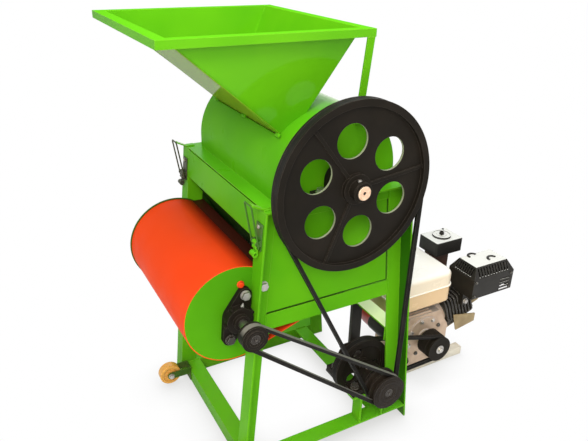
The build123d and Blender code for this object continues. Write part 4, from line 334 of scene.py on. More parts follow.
green_enamel = green_coat("green_enamel", dusty=0.16, slopes=((GREEN_TOP_PAINTED_LIGHT, *LEVEL),), on=GREEN_PIECES)
# Painted highlight: the level faces of the engine end's mid rail are a near-white pale green.
green_coat("green_painted_highlight", slopes=((GREEN_PAINTED_HIGHLIGHT, *LEVEL),), on="mid_rail_engine")
panel_low, panel_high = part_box("side_panels")
panel_end = panel_high.x + LEG_SLOPE * panel_low.z
# Painted shade: the side panels are dark green on all but their outer faces, and in a thin line along their
# foot and their engine-end edge.
green_coat(
    "panel_enamel", on="side_panels",
    bands=(
        (GREEN_SHADE, (FAR, panel_low.y + SKIN_DEPTH, panel_high.y - SKIN_DEPTH)),
        (GREEN_SHADE, (UP, -BEYOND, panel_low.z + SEAM_SHADE_WIDTH)),
        (GREEN_SHADE, ((1.0, 0.0, LEG_SLOPE), panel_end - SEAM_SHADE_WIDTH, BEYOND)),
    ),
)
leg_low, leg_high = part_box("legs_engine_end")
leg_lean = (leg_high.x - leg_low.x - ANGLE) / (leg_high.z - leg_low.z)
leg_inside = (FAR, leg_low.y + LEG_SHADOW_INSET, leg_low.y + ANGLE - ANGLE_WALL - LEG_SHADOW_INSET)
leg_face = ((1.0, 0.0, leg_lean), -BEYOND, leg_high.x - ANGLE_WALL / 2)
# Painted shadow: the inner face of the near engine-end leg's second flange is dark green, the shadow of the
# belts and pulleys.
green_coat("leg_enamel", dusty=0.16, bands=((BELT_PAINTED_SHADOW, leg_inside, leg_face),), on="legs_engine_end")
rail_low, rail_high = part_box("mid_rails")
rail_inside = (FAR, rail_low.y + SKIN_DEPTH, rail_high.y - SKIN_DEPTH)
# Painted shade: the mid rails are dark green on their inner faces at the blower's end of the frame.
green_coat(
    "rail_enamel", on="mid_rails", slopes=((GREEN_TOP_PAINTED_LIGHT, *LEVEL),),
    bands=((GREEN_SHADE, rail_inside, (ENGINE_WAY, -BEYOND, INNER_END)),),
)
# Painted shade: the grain boards inside the frame are near-black green all over.
coat(
    "inner_shade", GREEN_SHADE, GREEN_SHADE, GREEN_DEEP, smooth=0.5, rough=0.7, specular=0.08, dusty=0.10,
    on="grain_boards",
)


# Frame welds: short fillet beads laid where the rails meet the leaning legs and each other, and where
# the jackshaft's stand meets the base rail, then sprayed over with the same green.
NEAR = (0.0, -1.0, 0.0)
BEAD = 0.0062
DROP_PITCH = 0.42
DROP_SIZE = (0.46, 0.50, 0.34)
DROP_SWELL = 0.10
DROP_RHYTHM = 2.4
WELD_GRAIN = 0.0009
RAIL_STOP = 0.003
TOP_STOP = 0.008
CROSS_STOP = 0.004
ROOT_STOP = 0.002
BASE_STOP = 0.006
STAND_LEG_REACH = 0.031
SAME_POINT = 0.000002
leg_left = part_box("legs_fan_end")[0].x
leg_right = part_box("legs_engine_end")[1].x
frame_middle = (leg_left + leg_right) / 2
leg_foot = (leg_right - leg_left) / 2


def take(piece):
    """Makes one piece the only one selected, and active."""
    bpy.ops.object.select_all(action="DESELECT")
    piece.select_set(True)
    bpy.context.view_layer.objects.active = piece


def apply_place(piece):
    """Puts a piece's place, turn and size into its mesh."""
    take(piece)
    bpy.ops.object.transform_apply(location=True, rotation=True, scale=True)


def open_up(piece, action="SELECT"):
    """Opens the mesh of a piece for work, with all of it selected, or none."""
    take(piece)
    bpy.ops.object.mode_set(mode="EDIT")
    bpy.ops.mesh.select_all(action=action)


def close_up():
    bpy.ops.object.mode_set(mode="OBJECT")


def join_up(pieces):
    """Joins pieces into the first of them."""
    take(pieces[0])
    for other in pieces[1:]:
        other.select_set(True)
    if len(pieces) > 1:
        bpy.ops.object.join()
    return pieces[0]


def set_out(pattern, places):
    """Copies a modelled pattern to each place, every copy with its own mesh, and joins the copies."""
    copies = []
    for place in places:
        twin = pattern.copy()
        twin.data = pattern.data.copy()
        twin.data.transform(place)
        bpy.context.scene.collection.objects.link(twin)
        copies.append(twin)
    return join_up(copies)


def set_aside(pattern):
    """Takes a pattern away once its copies are made."""
    bpy.data.objects.remove(pattern, do_unlink=True)


def fit(piece, name, body, finish, angle=35.0):
    """Closes and smooths a finished piece, gives it its finish and fixes it to its body."""
    piece.name = name
    piece.data.name = name
    apply_place(piece)
    open_up(piece)
    bpy.ops.mesh.remove_doubles(threshold=SAME_POINT)
    bpy.ops.mesh.normals_make_consistent(inside=False)
    close_up()
    bpy.ops.object.shade_smooth_by_angle(angle=math.radians(angle))
    piece.data.materials.clear()
    piece.data.materials.append(finish)
    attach(piece, body)


def trim(piece, *cuts):
    """Cuts a piece flat along planes (place, way) and drops what lies on the side the way looks to."""
    for place, way in cuts:
        open_up(piece)
        bpy.ops.mesh.bisect(plane_co=place, plane_no=way, use_fill=True, clear_outer=True)
        close_up()


def work(piece, kind, **values):
    """Puts one modifier on a piece and applies it."""
    take(piece)
    tool = piece.modifiers.new(kind.lower(), kind)
    for name, value in values.items():
        setattr(tool, name, value)
    bpy.ops.object.modifier_apply(modifier=tool.name)


def weld_drop():
    """One frozen drop of weld metal: a ball with its underside cut flat."""
    bpy.ops.mesh.primitive_uv_sphere_add(segments=12, ring_count=8, radius=1.0, location=(0.0, 0.0, 0.0))
    drop = bpy.context.object
    trim(drop, ((0.0, 0.0, -0.5), (0.0, 0.0, -1.0)))
    return drop


def stood_out(place, spoke, facing):
    """Place of a pattern whose length follows a spoke and whose top looks one way."""
    spoke, facing = Vector(spoke), Vector(facing)
    return Matrix.Translation(place) @ Matrix((spoke, facing.cross(spoke), facing)).transposed().to_4x4()


def bead_places(start, end, facing, width=BEAD):
    """Places of the drops that make one bead from start to end on a seam that faces one way."""
    start, end = Vector(start), Vector(end)
    run = (end - start).normalized()
    across = Vector(facing).cross(run).normalized()
    drops = max(2, round((end - start).length / (width * DROP_PITCH)))
    places = []
    for step in range(drops + 1):
        swell = width * (1.0 + DROP_SWELL * math.sin(DROP_RHYTHM * step))
        size = Matrix.Diagonal((DROP_SIZE[0] * swell, DROP_SIZE[1] * swell, DROP_SIZE[2] * width, 1.0))
        places.append(stood_out(start.lerp(end, step / drops), run, run.cross(across)) @ size)
    return places


def weld_beads(name, seams, body, finish):
    """Lays the beads of many seams, fuses their drops and fixes them to a body, painted over."""
    drop = weld_drop()
    bead = set_out(drop, [place for seam in seams for place in bead_places(*seam)])
    set_aside(drop)
    work(bead, "REMESH", mode="VOXEL", voxel_size=WELD_GRAIN)
    work(bead, "SMOOTH", factor=0.5, iterations=2)
    fit(bead, name, body, finish, angle=60.0)


def rail_end(z, end):
    """Where a rail meets the inner edge of a leaning leg, at one end of the frame."""
    return frame_middle + end * (leg_foot - LEG_SLOPE * z - ANGLE)


top_low, top_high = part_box("top_rails")
rail_heights = (
    (rail_low.z + RAIL_STOP, rail_high.z - RAIL_STOP), (top_low.z + RAIL_STOP, top_high.z - TOP_STOP),
)
frame_seams = [
    ((rail_end(low, end), skin, low), (rail_end(high, end), skin, high), facing)
    for skin, facing in ((rail_low.y, NEAR), (rail_high.y, FAR))
    for end in (-1.0, 1.0)
    for low, high in rail_heights
]
low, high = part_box("mid_rail_engine")
for wall, inward in ((low.y, 1.0), (high.y, -1.0)):
    frame_seams += [
        ((low.x + CROSS_STOP, wall, high.z), (high.x - CROSS_STOP, wall, high.z), (0.0, inward, 1.0)),
        ((low.x, wall, low.z + CROSS_STOP), (low.x, wall, high.z - ROOT_STOP), (-1.0, inward, 0.0)),
    ]
low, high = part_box("jackshaft_stand")
for side in (-1.0, 1.0):
    x = axles["jack_spin"].x + side * STAND_LEG_REACH
    frame_seams.append(((x, low.y + BASE_STOP, low.z), (x, high.y - BASE_STOP, low.z), (side, 0.0, 1.0)))
for name in ("base_rail_fan", "base_rail_engine"):
    low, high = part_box(name)
    frame_seams += [
        ((low.x + BASE_STOP, wall, high.z), (high.x - BASE_STOP, wall, high.z), (0.0, inward, 1.0))
        for wall, inward in ((low.y, 1.0), (high.y, -1.0))
    ]
weld_beads("frame_welds", frame_seams, "frame", green_enamel)


# Drum cover: half-round green sheet on two ledges, hinged at the engine end; its back, which the
# hopper doesn't shade, is shiny with a clear coat and has a paler green band that is a painted highlight.
COVER_BACK = (0.42, 0.0, 0.907)
COVER_BACK_PAINTED_HIGHLIGHT = (0.320, 0.700, 0.110)
green_coat(
    "cover_enamel", slopes=((GREEN_TOP_PAINTED_LIGHT, *LEVEL), (COVER_BACK_PAINTED_HIGHLIGHT, COVER_BACK, 0.92, 0.99)),
    glossy=(COVER_BACK, 0.90, 0.99, 0.8), on="drum_cover",
)


# Hopper: four sheets folded and seamed at their inner corners, with a turned-out rim, tacked to the
# cover along its mouth and held up by two flat stays.
HOPPER_UNDER_PAINTED_SHADE_AND_REFLECTION = (0.180, 0.335, 0.016)
SEAM_BEAD = 0.0042
SEAM_LIFT = 0.6
TACK = 0.0090
TACK_HALF = 0.005
TACKS_ALONG = (-0.158, 0.0, 0.158)
TACK_ROOT = Vector((-0.004, 0.0, 0.001))
TACK_FACING = (-1.0, 0.0, 0.7)
RIM_WIDTH = 0.022
RIM_STOP = 0.003
MOUTH_STOP = 0.004
MOUTH_HALF = 0.160
MOUTH_HIGH = 115.7
MOUTH_LOW = 141.0
COVER_RADIUS = 0.145
STAY_STOP = 0.002
# Painted shade and reflection: the hopper's underside is a darker olive green with the warm tint of the
# ground it mirrors; its rim tops are a brighter green, painted light.
hopper_enamel = coat(
    "hopper_enamel", GREEN_LIGHT, GREEN_DEEP, GREEN_RUBBED, smooth=0.24, rough=0.38, specular=0.0, dusty=0.10,
    slopes=((GREEN_TOP_PAINTED_LIGHT, UP, 0.86, 0.98), (HOPPER_UNDER_PAINTED_SHADE_AND_REFLECTION, UP, -0.30, -0.62)), glossy=(UP, 0.30, -0.10, 0.28),
    on="hopper",
)
hopper_low, hopper_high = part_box("hopper")
hopper_middle = (hopper_low.y + hopper_high.y) / 2
drum_axle = axles["drum_spin"]


def round_axle(axle, radius, angle, y):
    """A place round an axle, at an angle in degrees, and the way that looks straight out there."""
    turn = math.radians(angle)
    spoke = Vector((math.cos(turn), 0.0, math.sin(turn)))
    return Vector((axle.x, y, axle.z)) + spoke * radius, spoke


mouth_right = round_axle(drum_axle, COVER_RADIUS, MOUTH_HIGH, hopper_middle)[0]
mouth_left = round_axle(drum_axle, COVER_RADIUS, MOUTH_LOW, hopper_middle)[0]
hopper_seams = []
for side, rim_y in ((-1.0, hopper_low.y + RIM_WIDTH), (1.0, hopper_high.y - RIM_WIDTH)):
    for mouth, rim_x, inward in (
        (mouth_right, hopper_high.x - RIM_WIDTH, -1.0), (mouth_left, hopper_low.x + RIM_WIDTH, 1.0),
    ):
        rim_corner = (rim_x, rim_y, hopper_high.z - RIM_STOP)
        mouth_corner = mouth + Vector((0.0, side * MOUTH_HALF, MOUTH_STOP))
        hopper_seams.append((rim_corner, mouth_corner, (inward, -side, SEAM_LIFT), SEAM_BEAD))
weld_beads("hopper_corner_seams", hopper_seams, "cover", hopper_enamel)
tack_seams = []
for tack in TACKS_ALONG:
    start = mouth_left + TACK_ROOT + Vector((0.0, tack - TACK_HALF, 0.0))
    end = mouth_left + TACK_ROOT + Vector((0.0, tack + TACK_HALF, 0.0))
    tack_seams.append((start, end, TACK_FACING, TACK))
stay_low, stay_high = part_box("hopper_stays")
for skin, inward in ((stay_low.y, 1.0), (stay_high.y, -1.0)):
    y = skin + inward * STAY_STOP
    tack_seams.append(
        (
            (stay_low.x + STAY_STOP, y, stay_high.z), (stay_high.x - STAY_STOP, y, stay_high.z),
            (0.0, inward, -SEAM_LIFT),
        )
    )
weld_beads("hopper_tacks", tack_seams, "cover", green_enamel)


# Blower: a scroll of thin sheet wrapped round two green end discs and sprayed orange-red before it was
# fitted; a turned hoop stiffens its far end, and a folded hem the edge of the sheet.
ORANGE_SHADE = (0.230, 0.016, 0.006)
HOOP_RADIUS = 0.1135
HOOP_BORE = 0.1108
HOOP_WIDTH = 0.005
HEM_ANGLE = 62.0
HEM_RADIUS = 0.1110
HEM_REACH = 0.030
HEM_THICK = 0.0018
HEM_LAP = 0.0012
HEM_STOP = 0.003
TOP_FACE = 0.99
TOP_PLAY = 1e-6
BREAK_ANGLE = math.radians(40.0)
# Painted shade: the scroll darkens to a deep red as its faces turn toward the engine, under the machine's
# body.
orange_enamel = coat(
    "orange_enamel", light=(0.920, 0.076, 0.012), deep=(0.860, 0.062, 0.010), rubbed=(0.980, 0.200, 0.080),
    smooth=0.42, rough=0.56, ripple=0.04, specular=0.03,
    slopes=((ORANGE_SHADE, ENGINE_WAY, 0.05, 0.47),), on="fan_housing",
)
# Painted shade: the blower's near disc is a deeper green than the frame.
coat(
    "disc_enamel_painted_shade", light=(0.095, 0.385, 0.006), deep=(0.070, 0.310, 0.005), rubbed=GREEN_RUBBED,
    smooth=0.30, rough=0.44, specular=0.03, dusty=0.10, on="fan_end_near",
)
hoop_enamel = coat(
    "hoop_enamel", light=(0.060, 0.105, 0.010), deep=(0.040, 0.075, 0.007), rubbed=GREEN_DEEP,
    smooth=0.35, rough=0.5, specular=0.05,
)
# Painted shade: the hem is a dark brown-red, the orange sheet as it looks in the shade under the machine.
hem_painted_shade = coat(
    "hem_painted_shade", light=(0.060, 0.011, 0.006), deep=(0.030, 0.008, 0.005), rubbed=ORANGE_SHADE,
    smooth=0.5, rough=0.7, specular=0.05, edge=0.0004,
)


def round_blank(radius, height, sides):
    """A round or six-sided blank that stands on the origin."""
    bpy.ops.mesh.primitive_cylinder_add(
        vertices=sides, radius=radius, depth=height, location=(0.0, 0.0, height / 2)
    )
    blank = bpy.context.object
    apply_place(blank)
    return blank


def bar_blank(length, width, height):
    """A square bar that stands on the origin, its length along the first axis."""
    bpy.ops.mesh.primitive_cube_add(size=1.0, location=(0.0, 0.0, height / 2), scale=(length, width, height))
    bar = bpy.context.object
    apply_place(bar)
    return bar


def pick(piece, wanted, kind="FACE"):
    """Opens the mesh of a piece with only the wanted faces, or edges, selected."""
    open_up(piece, "DESELECT")
    bpy.ops.mesh.select_mode(type=kind)
    close_up()
    for item in piece.data.polygons if kind == "FACE" else piece.data.edges:
        item.select = wanted(item)
    bpy.ops.object.mode_set(mode="EDIT")


def ends_of(piece):
    """Heights just inside the foot and the top of a piece."""
    heights = [corner.co.z for corner in piece.data.vertices]
    return min(heights) + TOP_PLAY, max(heights) - TOP_PLAY


def open_bore(piece, wall):
    """Opens a hole right through a round blank and leaves a wall of the given thickness."""
    low, high = ends_of(piece)
    pick(piece, lambda face: abs(face.normal.z) > TOP_FACE and not low < face.center.z < high)
    bpy.ops.mesh.inset(thickness=wall)
    bpy.ops.mesh.bridge_edge_loops()
    close_up()


def step_top(piece, *steps):
    """Works the top end in steps, each an inset and then a rise, or a sink where it is negative."""
    high = ends_of(piece)[1]
    pick(piece, lambda face: face.normal.z > TOP_FACE and face.center.z > high)
    for inset, rise in steps:
        if inset:
            bpy.ops.mesh.inset(thickness=inset)
        if rise:
            bpy.ops.mesh.extrude_region_move(TRANSFORM_OT_translate={"value": (0.0, 0.0, rise)})
    close_up()


def soften(piece, width, segments=2):
    """Breaks the sharp edges of a piece with a small round."""
    work(piece, "BEVEL", width=width, segments=segments, limit_method="ANGLE", angle_limit=BREAK_ANGLE)


def turned(radius, height, sides, edge, *steps, bore=0.0):
    """A piece turned from round or six-sided bar: bored, stepped at its top and softened."""
    piece = round_blank(radius, height, sides)
    if bore:
        open_bore(piece, radius - bore)
    if steps:
        step_top(piece, *steps)
    soften(piece, edge)
    return piece


def laid_at(place, facing=UP, spin=0.0, size=1.0):
    """Place of a pattern that stands on a face: its foot, the way the face looks, a turn and a size."""
    stood = Vector(facing).to_track_quat("Z", "Y").to_matrix().to_4x4()
    return Matrix.Translation(place) @ stood @ Matrix.Rotation(spin, 4, "Z") @ Matrix.Scale(size, 4)


def fit_out(pattern, places, name, finish, body="frame"):
    """Copies a pattern to its places, sets it aside and fits the joined copies."""
    copies = set_out(pattern, places)
    set_aside(pattern)
    fit(copies, name, body, finish)


fan_axle = axles["fan_spin"]
fan_low, fan_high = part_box("fan_housing")
hoop = turned(HOOP_RADIUS, HOOP_WIDTH, 96, 0.0006, bore=HOOP_BORE)
hoop_place = laid_at((fan_axle.x, fan_high.y - HOOP_WIDTH, fan_axle.z), FAR)
fit_out(hoop, [hoop_place], "blower_hoop", hoop_enamel)
hem = bar_blank(HEM_REACH, fan_high.y - fan_low.y - 2 * HEM_STOP, HEM_THICK)
soften(hem, 0.0004)
sheet_edge = round_axle(fan_axle, HEM_RADIUS, HEM_ANGLE, (fan_low.y + fan_high.y) / 2)[0]
hem_place = Matrix.Translation(sheet_edge + Vector((HEM_REACH / 2 - HEM_LAP, 0.0, -HEM_THICK)))
fit_out(hem, [hem_place], "blower_hem", hem_painted_shade)


# Zinc bolts: hexagon heads with a turned crown on a flat washer, the one pattern for every small bolt;
# the plated steel is bright above and darker low on the machine, and one bolt on the blower's near
# disc was caught by the orange spray.
ZINC = dict(
    light=(0.640, 0.615, 0.580), deep=(0.430, 0.405, 0.375), rubbed=(0.840, 0.820, 0.790),
    metallic=1.0, smooth=0.28, rough=0.46, tone_scale=45.0, ripple_scale=900.0,
    edge=0.0005, dusty=0.15,
)
ZINC_DARK_LOW = (0.030, 0.027, 0.024)
ZINC_DARK_BELOW = 0.40
PAINTED_BOLT_X = -0.356
PAINTED_BOLT_Z = 0.507
STAY_FOOT_RISE = 0.0130
zinc_plate = coat("zinc_plate", specular=0.5, **ZINC)
bolt_zinc = coat(
    "bolt_zinc", specular=0.4, bands=((ZINC_DARK_LOW, (UP, -BEYOND, ZINC_DARK_BELOW)),), on="frame_bolts", **ZINC
)


def hex_bolt(head=0.0095, height=0.0065, washer=0.0112, plate=0.0018):
    """Bolt head on its washer, standing on the origin."""
    flat_ring = turned(washer, plate, 32, 0.0004)
    crown = turned(head, height, 6, 0.0003, (head * 0.13, height * 0.10), (head * 0.10, 0.0))
    crown.data.transform(Matrix.Translation((0.0, 0.0, plate * 0.9)))
    return join_up([flat_ring, crown])


bolt_pattern = hex_bolt()


def bolt_on(places, name, body="frame", finish=zinc_plate):
    """Bolts, nuts or screw heads of the one pattern."""
    fit(set_out(bolt_pattern, places), name, body, finish)


painted_place = laid_at((PAINTED_BOLT_X, fan_low.y, PAINTED_BOLT_Z), NEAR, spin=0.3, size=0.72)
bolt_on([painted_place], "blower_bolt", finish=orange_enamel)
stay_middle = (stay_low.x + stay_high.x) / 2
stay_places = [
    laid_at((stay_middle, skin, stay_low.z + STAY_FOOT_RISE), facing, spin=0.2, size=0.62)
    for skin, facing in ((stay_low.y, NEAR), (stay_high.y, FAR))
]
bolt_on(stay_places, "stay_bolts", "cover")


# Pulleys: grey iron castings turned on the rim and face and painted black; turned steps ring the faces
# of the small ones, and a collar and two set screws lock the big one to its shaft.
IRON_RUBBED = (0.150, 0.130, 0.115)
BROWN_LIGHT = (0.0220, 0.0165, 0.0130)
HOLE_WALL_PAINTED_LIGHT = (0.300, 0.330, 0.230)
IRON = dict(
    light=(0.0155, 0.0122, 0.0092), deep=(0.0085, 0.0070, 0.0054), rubbed=IRON_RUBBED,
    smooth=0.46, rough=0.64, tone_scale=14.0, specular=0.10, ripple_scale=900.0,
    ripple=0.10, spread=3.0,
)
WEB_HALF = 0.003
WEB_SKIN = 0.0006
HOLES_REACH = 0.134
SHAFT_RADIUS = 0.015
SHAFT_PLAY = 0.0002
HUB_RADIUS = 0.021
COLLAR_STEP = 0.0012
COLLAR_RADIUS = HUB_RADIUS - COLLAR_STEP
COLLAR_RISE = 0.0022
HUB_SCREW_SET = 0.0085
HUB_SCREW_ANGLES = (100.0, 10.0)
SCREW_RADIUS = 0.0042
SCREW_HEIGHT = 0.0035
SCREW_SEAT = 0.001
IRON_PIECES = (
    "drum_bearings jackshaft_bearings fan_bearings fan_pulley driven_pulley engine_pulley flywheel"
)
black_iron = coat("black_iron", on=IRON_PIECES, **IRON)
brown_iron = coat(
    "brown_iron", BROWN_LIGHT, deep=(0.0140, 0.0105, 0.0085), rubbed=IRON_RUBBED, smooth=0.46, rough=0.62,
    tone_scale=40.0, specular=0.15, ripple_scale=900.0, ripple=0.08, edge=0.0008, spread=3.0,
    on="double_pulley",
)
pulley_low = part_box("drum_pulley")[0]
belt_low, belt_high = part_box("main_belt")
web_middle = (belt_low.y + belt_high.y) / 2
# Painted light: the walls of the big pulley's holes are a pale grey green, as if lit from above.
holes = (
    HOLE_WALL_PAINTED_LIGHT, (FAR, web_middle - WEB_HALF + WEB_SKIN, web_middle + WEB_HALF - WEB_SKIN),
    (ENGINE_WAY, drum_axle.x - HOLES_REACH, drum_axle.x + HOLES_REACH),
    (UP, drum_axle.z - HOLES_REACH, drum_axle.z + HOLES_REACH),
)
coat("drilled_iron", bands=(holes,), on="drum_pulley", **IRON)


def face_rings(name, node_name, axle, radius, bore, body, finish):
    """Turned steps on the near face of a pulley: a low ring with a groove and a raised lip."""
    steps = ((radius * 0.09, -0.0005), (radius * 0.06, 0.0014), (radius * 0.10, -0.0008))
    rings = turned(radius, 0.0008, 72, 0.0003, *steps, bore=bore)
    place = laid_at((axle.x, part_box(node_name)[0].y, axle.z), NEAR)
    fit_out(rings, [place], name, finish, body)


face_rings("double_pulley_rings", "double_pulley", axles["jack_spin"], 0.0385, 0.0122, "jack", brown_iron)
face_rings("fan_pulley_rings", "fan_pulley", fan_axle, 0.0235, 0.0118, "fan", black_iron)
collar = turned(COLLAR_RADIUS, COLLAR_RISE, 64, 0.0006, bore=SHAFT_RADIUS + SHAFT_PLAY)
collar_place = laid_at((drum_axle.x, pulley_low.y, drum_axle.z), NEAR)
fit_out(collar, [collar_place], "drum_hub_collar", black_iron, "drum")

# Set screw: small and round, with a sunk socket
socket = ((SCREW_RADIUS * 0.35, 0.0), (SCREW_RADIUS * 0.12, -SCREW_HEIGHT * 0.6))
screw_pattern = turned(SCREW_RADIUS, SCREW_HEIGHT, 24, 0.0003, *socket)
hub_screw_y = pulley_low.y + HUB_SCREW_SET
hub_screw_places = [
    laid_at(*round_axle(drum_axle, HUB_RADIUS - SCREW_SEAT, angle, hub_screw_y))
    for angle in HUB_SCREW_ANGLES
]
fit(set_out(screw_pattern, hub_screw_places), "drum_hub_screws", "drum", zinc_plate)


# Bearings: cast housings with a hardened insert ring at each end and a grease nipple on the crown;
# the blower's two-bolt flange bearings have four short ribs round the housing.
INSERT_RADIUS = 0.0262
INSERT_DEPTH = 0.0022
PILLOW_TOP = 0.0310
PILLOW_HALF = 0.017
PILLOW_NIPPLE = 118.0
FLANGE_RADIUS = 0.029
FLANGE_MIDDLE = 0.017
FLANGE_NIPPLE = 75.0
NIPPLE_SEAT = 0.001
RIB_SIZE = (0.007, 0.010, 0.014)
RIB_SET = 0.025
RIB_CLEAR = 0.0015
RIB_ANGLES = (20.0, 120.0, 200.0, 300.0)
PILLOWS = (("drum_bearings", axles["drum_spin"], 0.0165), ("jackshaft_bearings", axles["jack_spin"], 0.0115))
insert_rings = []
nipple_places = []
for name, axle, bore in PILLOWS:
    low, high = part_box(name)
    ring = turned(INSERT_RADIUS, INSERT_DEPTH, 64, 0.0004, (0.0022, -0.0010), (0.0015, 0.0), bore=bore)
    ring_places = []
    for middle in (low.y + PILLOW_HALF, high.y - PILLOW_HALF):
        ring_places.append(laid_at((axle.x, middle - PILLOW_HALF, axle.z), NEAR))
        ring_places.append(laid_at((axle.x, middle + PILLOW_HALF, axle.z), FAR))
        nipple_places.append(laid_at(*round_axle(axle, PILLOW_TOP - NIPPLE_SEAT, PILLOW_NIPPLE, middle)))
    insert_rings.append(set_out(ring, ring_places))
    set_aside(ring)
fit(join_up(insert_rings), "bearing_inserts", "frame", zinc_plate)


def tapered_bar(size, edge, length, width, shift=0.0):
    """A bar whose top is narrowed to shares of its length and width and shifted sideways."""
    bar = bar_blank(*size)
    pick(bar, lambda face: face.normal.z > TOP_FACE)
    bpy.ops.transform.resize(value=(length, width, 1.0))
    bpy.ops.transform.translate(value=(0.0, shift, 0.0))
    close_up()
    soften(bar, edge)
    return bar


flange_low, flange_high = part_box("fan_bearings")
rib_places = []
for wall, out, facing in ((flange_low.y, 1.0, NEAR), (flange_high.y, -1.0, FAR)):
    middle = wall + out * FLANGE_MIDDLE
    nipple_places.append(laid_at(*round_axle(fan_axle, FLANGE_RADIUS - NIPPLE_SEAT, FLANGE_NIPPLE, middle)))
    for angle in RIB_ANGLES:
        foot = round_axle(fan_axle, FLANGE_RADIUS + RIB_CLEAR, angle, wall + out * RIB_SET)
        rib_places.append(stood_out(*foot, facing))
nipple_steps = ((0.0014, 0.0030), (0.0007, 0.0), (0.0, 0.0012), (-0.0006, 0.0014))
nipple = turned(0.0044, 0.0035, 6, 0.0003, *nipple_steps)
fit_out(nipple, nipple_places, "grease_nipples", zinc_plate)
rib = tapered_bar(RIB_SIZE, 0.0012, 1.0, 0.35)
fit_out(rib, rib_places, "blower_bearing_ribs", black_iron)


# Bare steel: shafts, pins, the concave's rods and the drum, left unpainted; the drum shaft's end
# shows a coppery sheen, the other two ends are dark with grease.
STEEL_RUBBED = (0.800, 0.780, 0.750)
STEEL = dict(
    light=(0.600, 0.570, 0.540), deep=(0.420, 0.390, 0.360), rubbed=STEEL_RUBBED, metallic=1.0,
    smooth=0.25, rough=0.45, tone_scale=30.0, ripple_scale=700.0, edge=0.0006,
)
FAN_SHAFT_END = 0.009
DRUM_SHAFT_END = 0.0008
coat(
    "bare_steel", specular=0.5, dusty=0.30, on="hinge_pins concave_grate drum_rotor crankshaft", **STEEL
)
greasy_end = (FAR, -BEYOND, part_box("fan_rotor")[0].y + FAN_SHAFT_END)
coat(
    "shaft_steel", specular=0.4, bands=((BROWN_LIGHT, greasy_end),), on="fan_rotor jackshaft",
    **STEEL,
)
greasy_length = (FAR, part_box("drum_shaft")[0].y + DRUM_SHAFT_END, BEYOND)
coat(
    "copper_end", light=(0.930, 0.690, 0.520), deep=(0.780, 0.480, 0.330), rubbed=STEEL_RUBBED,
    metallic=0.35, smooth=0.34, rough=0.50, specular=0.4, tone_scale=160.0, ripple_scale=700.0,
    ripple=0.06, edge=0.0006, dusty=0.0, bands=((BROWN_LIGHT, greasy_length),), on="drum_shaft",
)


# V belts: black rubber with a woven wrap, moulded as endless loops and run in the pulleys' grooves;
# their corners are worn pale, and the upper side of the blower's belt carries a pale painted highlight.
BELT_TOP_PAINTED_HIGHLIGHT = (0.190, 0.180, 0.165)
RUBBER = dict(
    light=(0.015, 0.0140, 0.0130), deep=(0.009, 0.0085, 0.0080), rubbed=(0.210, 0.195, 0.175),
    tone_scale=40.0, ripple_scale=1500.0, ripple=0.20, edge=0.0010, spread=4.0, dusty=0.0,
)
coat(
    "belt_rubber", smooth=0.55, rough=0.75, specular=0.12, on="main_belt engine_belt", **RUBBER
)
coat(
    "belt_painted_highlight", smooth=0.5, rough=0.7, specular=0.15, slopes=((BELT_TOP_PAINTED_HIGHLIGHT, UP, 0.35, 0.75),),
    on="fan_belt", **RUBBER,
)


# Latches: pressed steel levers and wire loops on bases that are screwed to the front legs; the near
# lever was sprayed with the frame, and its loop and base were brushed a darker green.
LATCH_GREEN = (0.045, 0.150, 0.012)
LATCH_SCREW_RISES = (0.006, 0.048)
LATCH_SCREW_SET = 0.013
LATCH_PLATE = 0.0022
coat(
    "latch_steel", light=(0.080, 0.085, 0.050), deep=(0.045, 0.052, 0.026), rubbed=(0.330, 0.330, 0.270),
    metallic=0.4, smooth=0.35, rough=0.52, tone_scale=60.0, specular=0.3, edge=0.0006,
    bands=((LATCH_GREEN, (FAR, -BEYOND, 0.0)),),
    on="latch_bases latch_lever_far latch_loop_far latch_loop_near",
)
base_low, base_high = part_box("latch_bases")
leg_normal = Vector((-1.0, 0.0, LEG_SLOPE)).normalized()
latch_screw_places = [
    laid_at((leg_left + LEG_SLOPE * (base_low.z + rise) - LATCH_PLATE, y, base_low.z + rise), leg_normal)
    for rise in LATCH_SCREW_RISES
    for y in (base_low.y + LATCH_SCREW_SET, base_high.y - LATCH_SCREW_SET)
]
fit_out(screw_pattern, latch_screw_places, "latch_screws", zinc_plate)


# Wheels: cast amber polyurethane on steel axles, in forks of flat steel that are brushed a dark green
# and welded to the base rail of the blower end, with a nut at each side.
FORK_SPAN = 0.034
coat(
    "amber_tyre", light=(0.800, 0.430, 0.090), deep=(0.740, 0.380, 0.072), rubbed=(0.840, 0.600, 0.280),
    smooth=0.28, rough=0.42, tone_scale=30.0, specular=0.35, ripple=0.03, dusty=0.15, dust_height=0.06,
    on="wheel_near wheel_far",
)
coat(
    "fork_steel", light=(0.055, 0.150, 0.014), deep=(0.032, 0.090, 0.009), rubbed=(0.190, 0.330, 0.080),
    smooth=0.40, rough=0.60, tone_scale=40.0, specular=0.15, edge=0.0008, dusty=0.2, dust_height=0.10,
    on="wheel_brackets",
)
fork_low, fork_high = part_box("wheel_brackets")
axle_nut_places = [
    laid_at((axles[joint].x, wall, axles[joint].z), facing, spin=0.25, size=0.72)
    for joint, wall, facing in (
        ("wheel_near", fork_low.y, NEAR), ("wheel_near", fork_low.y + FORK_SPAN, FAR),
        ("wheel_far", fork_high.y - FORK_SPAN, NEAR), ("wheel_far", fork_high.y, FAR),
    )
]
bolt_on(axle_nut_places, "wheel_axle_nuts")


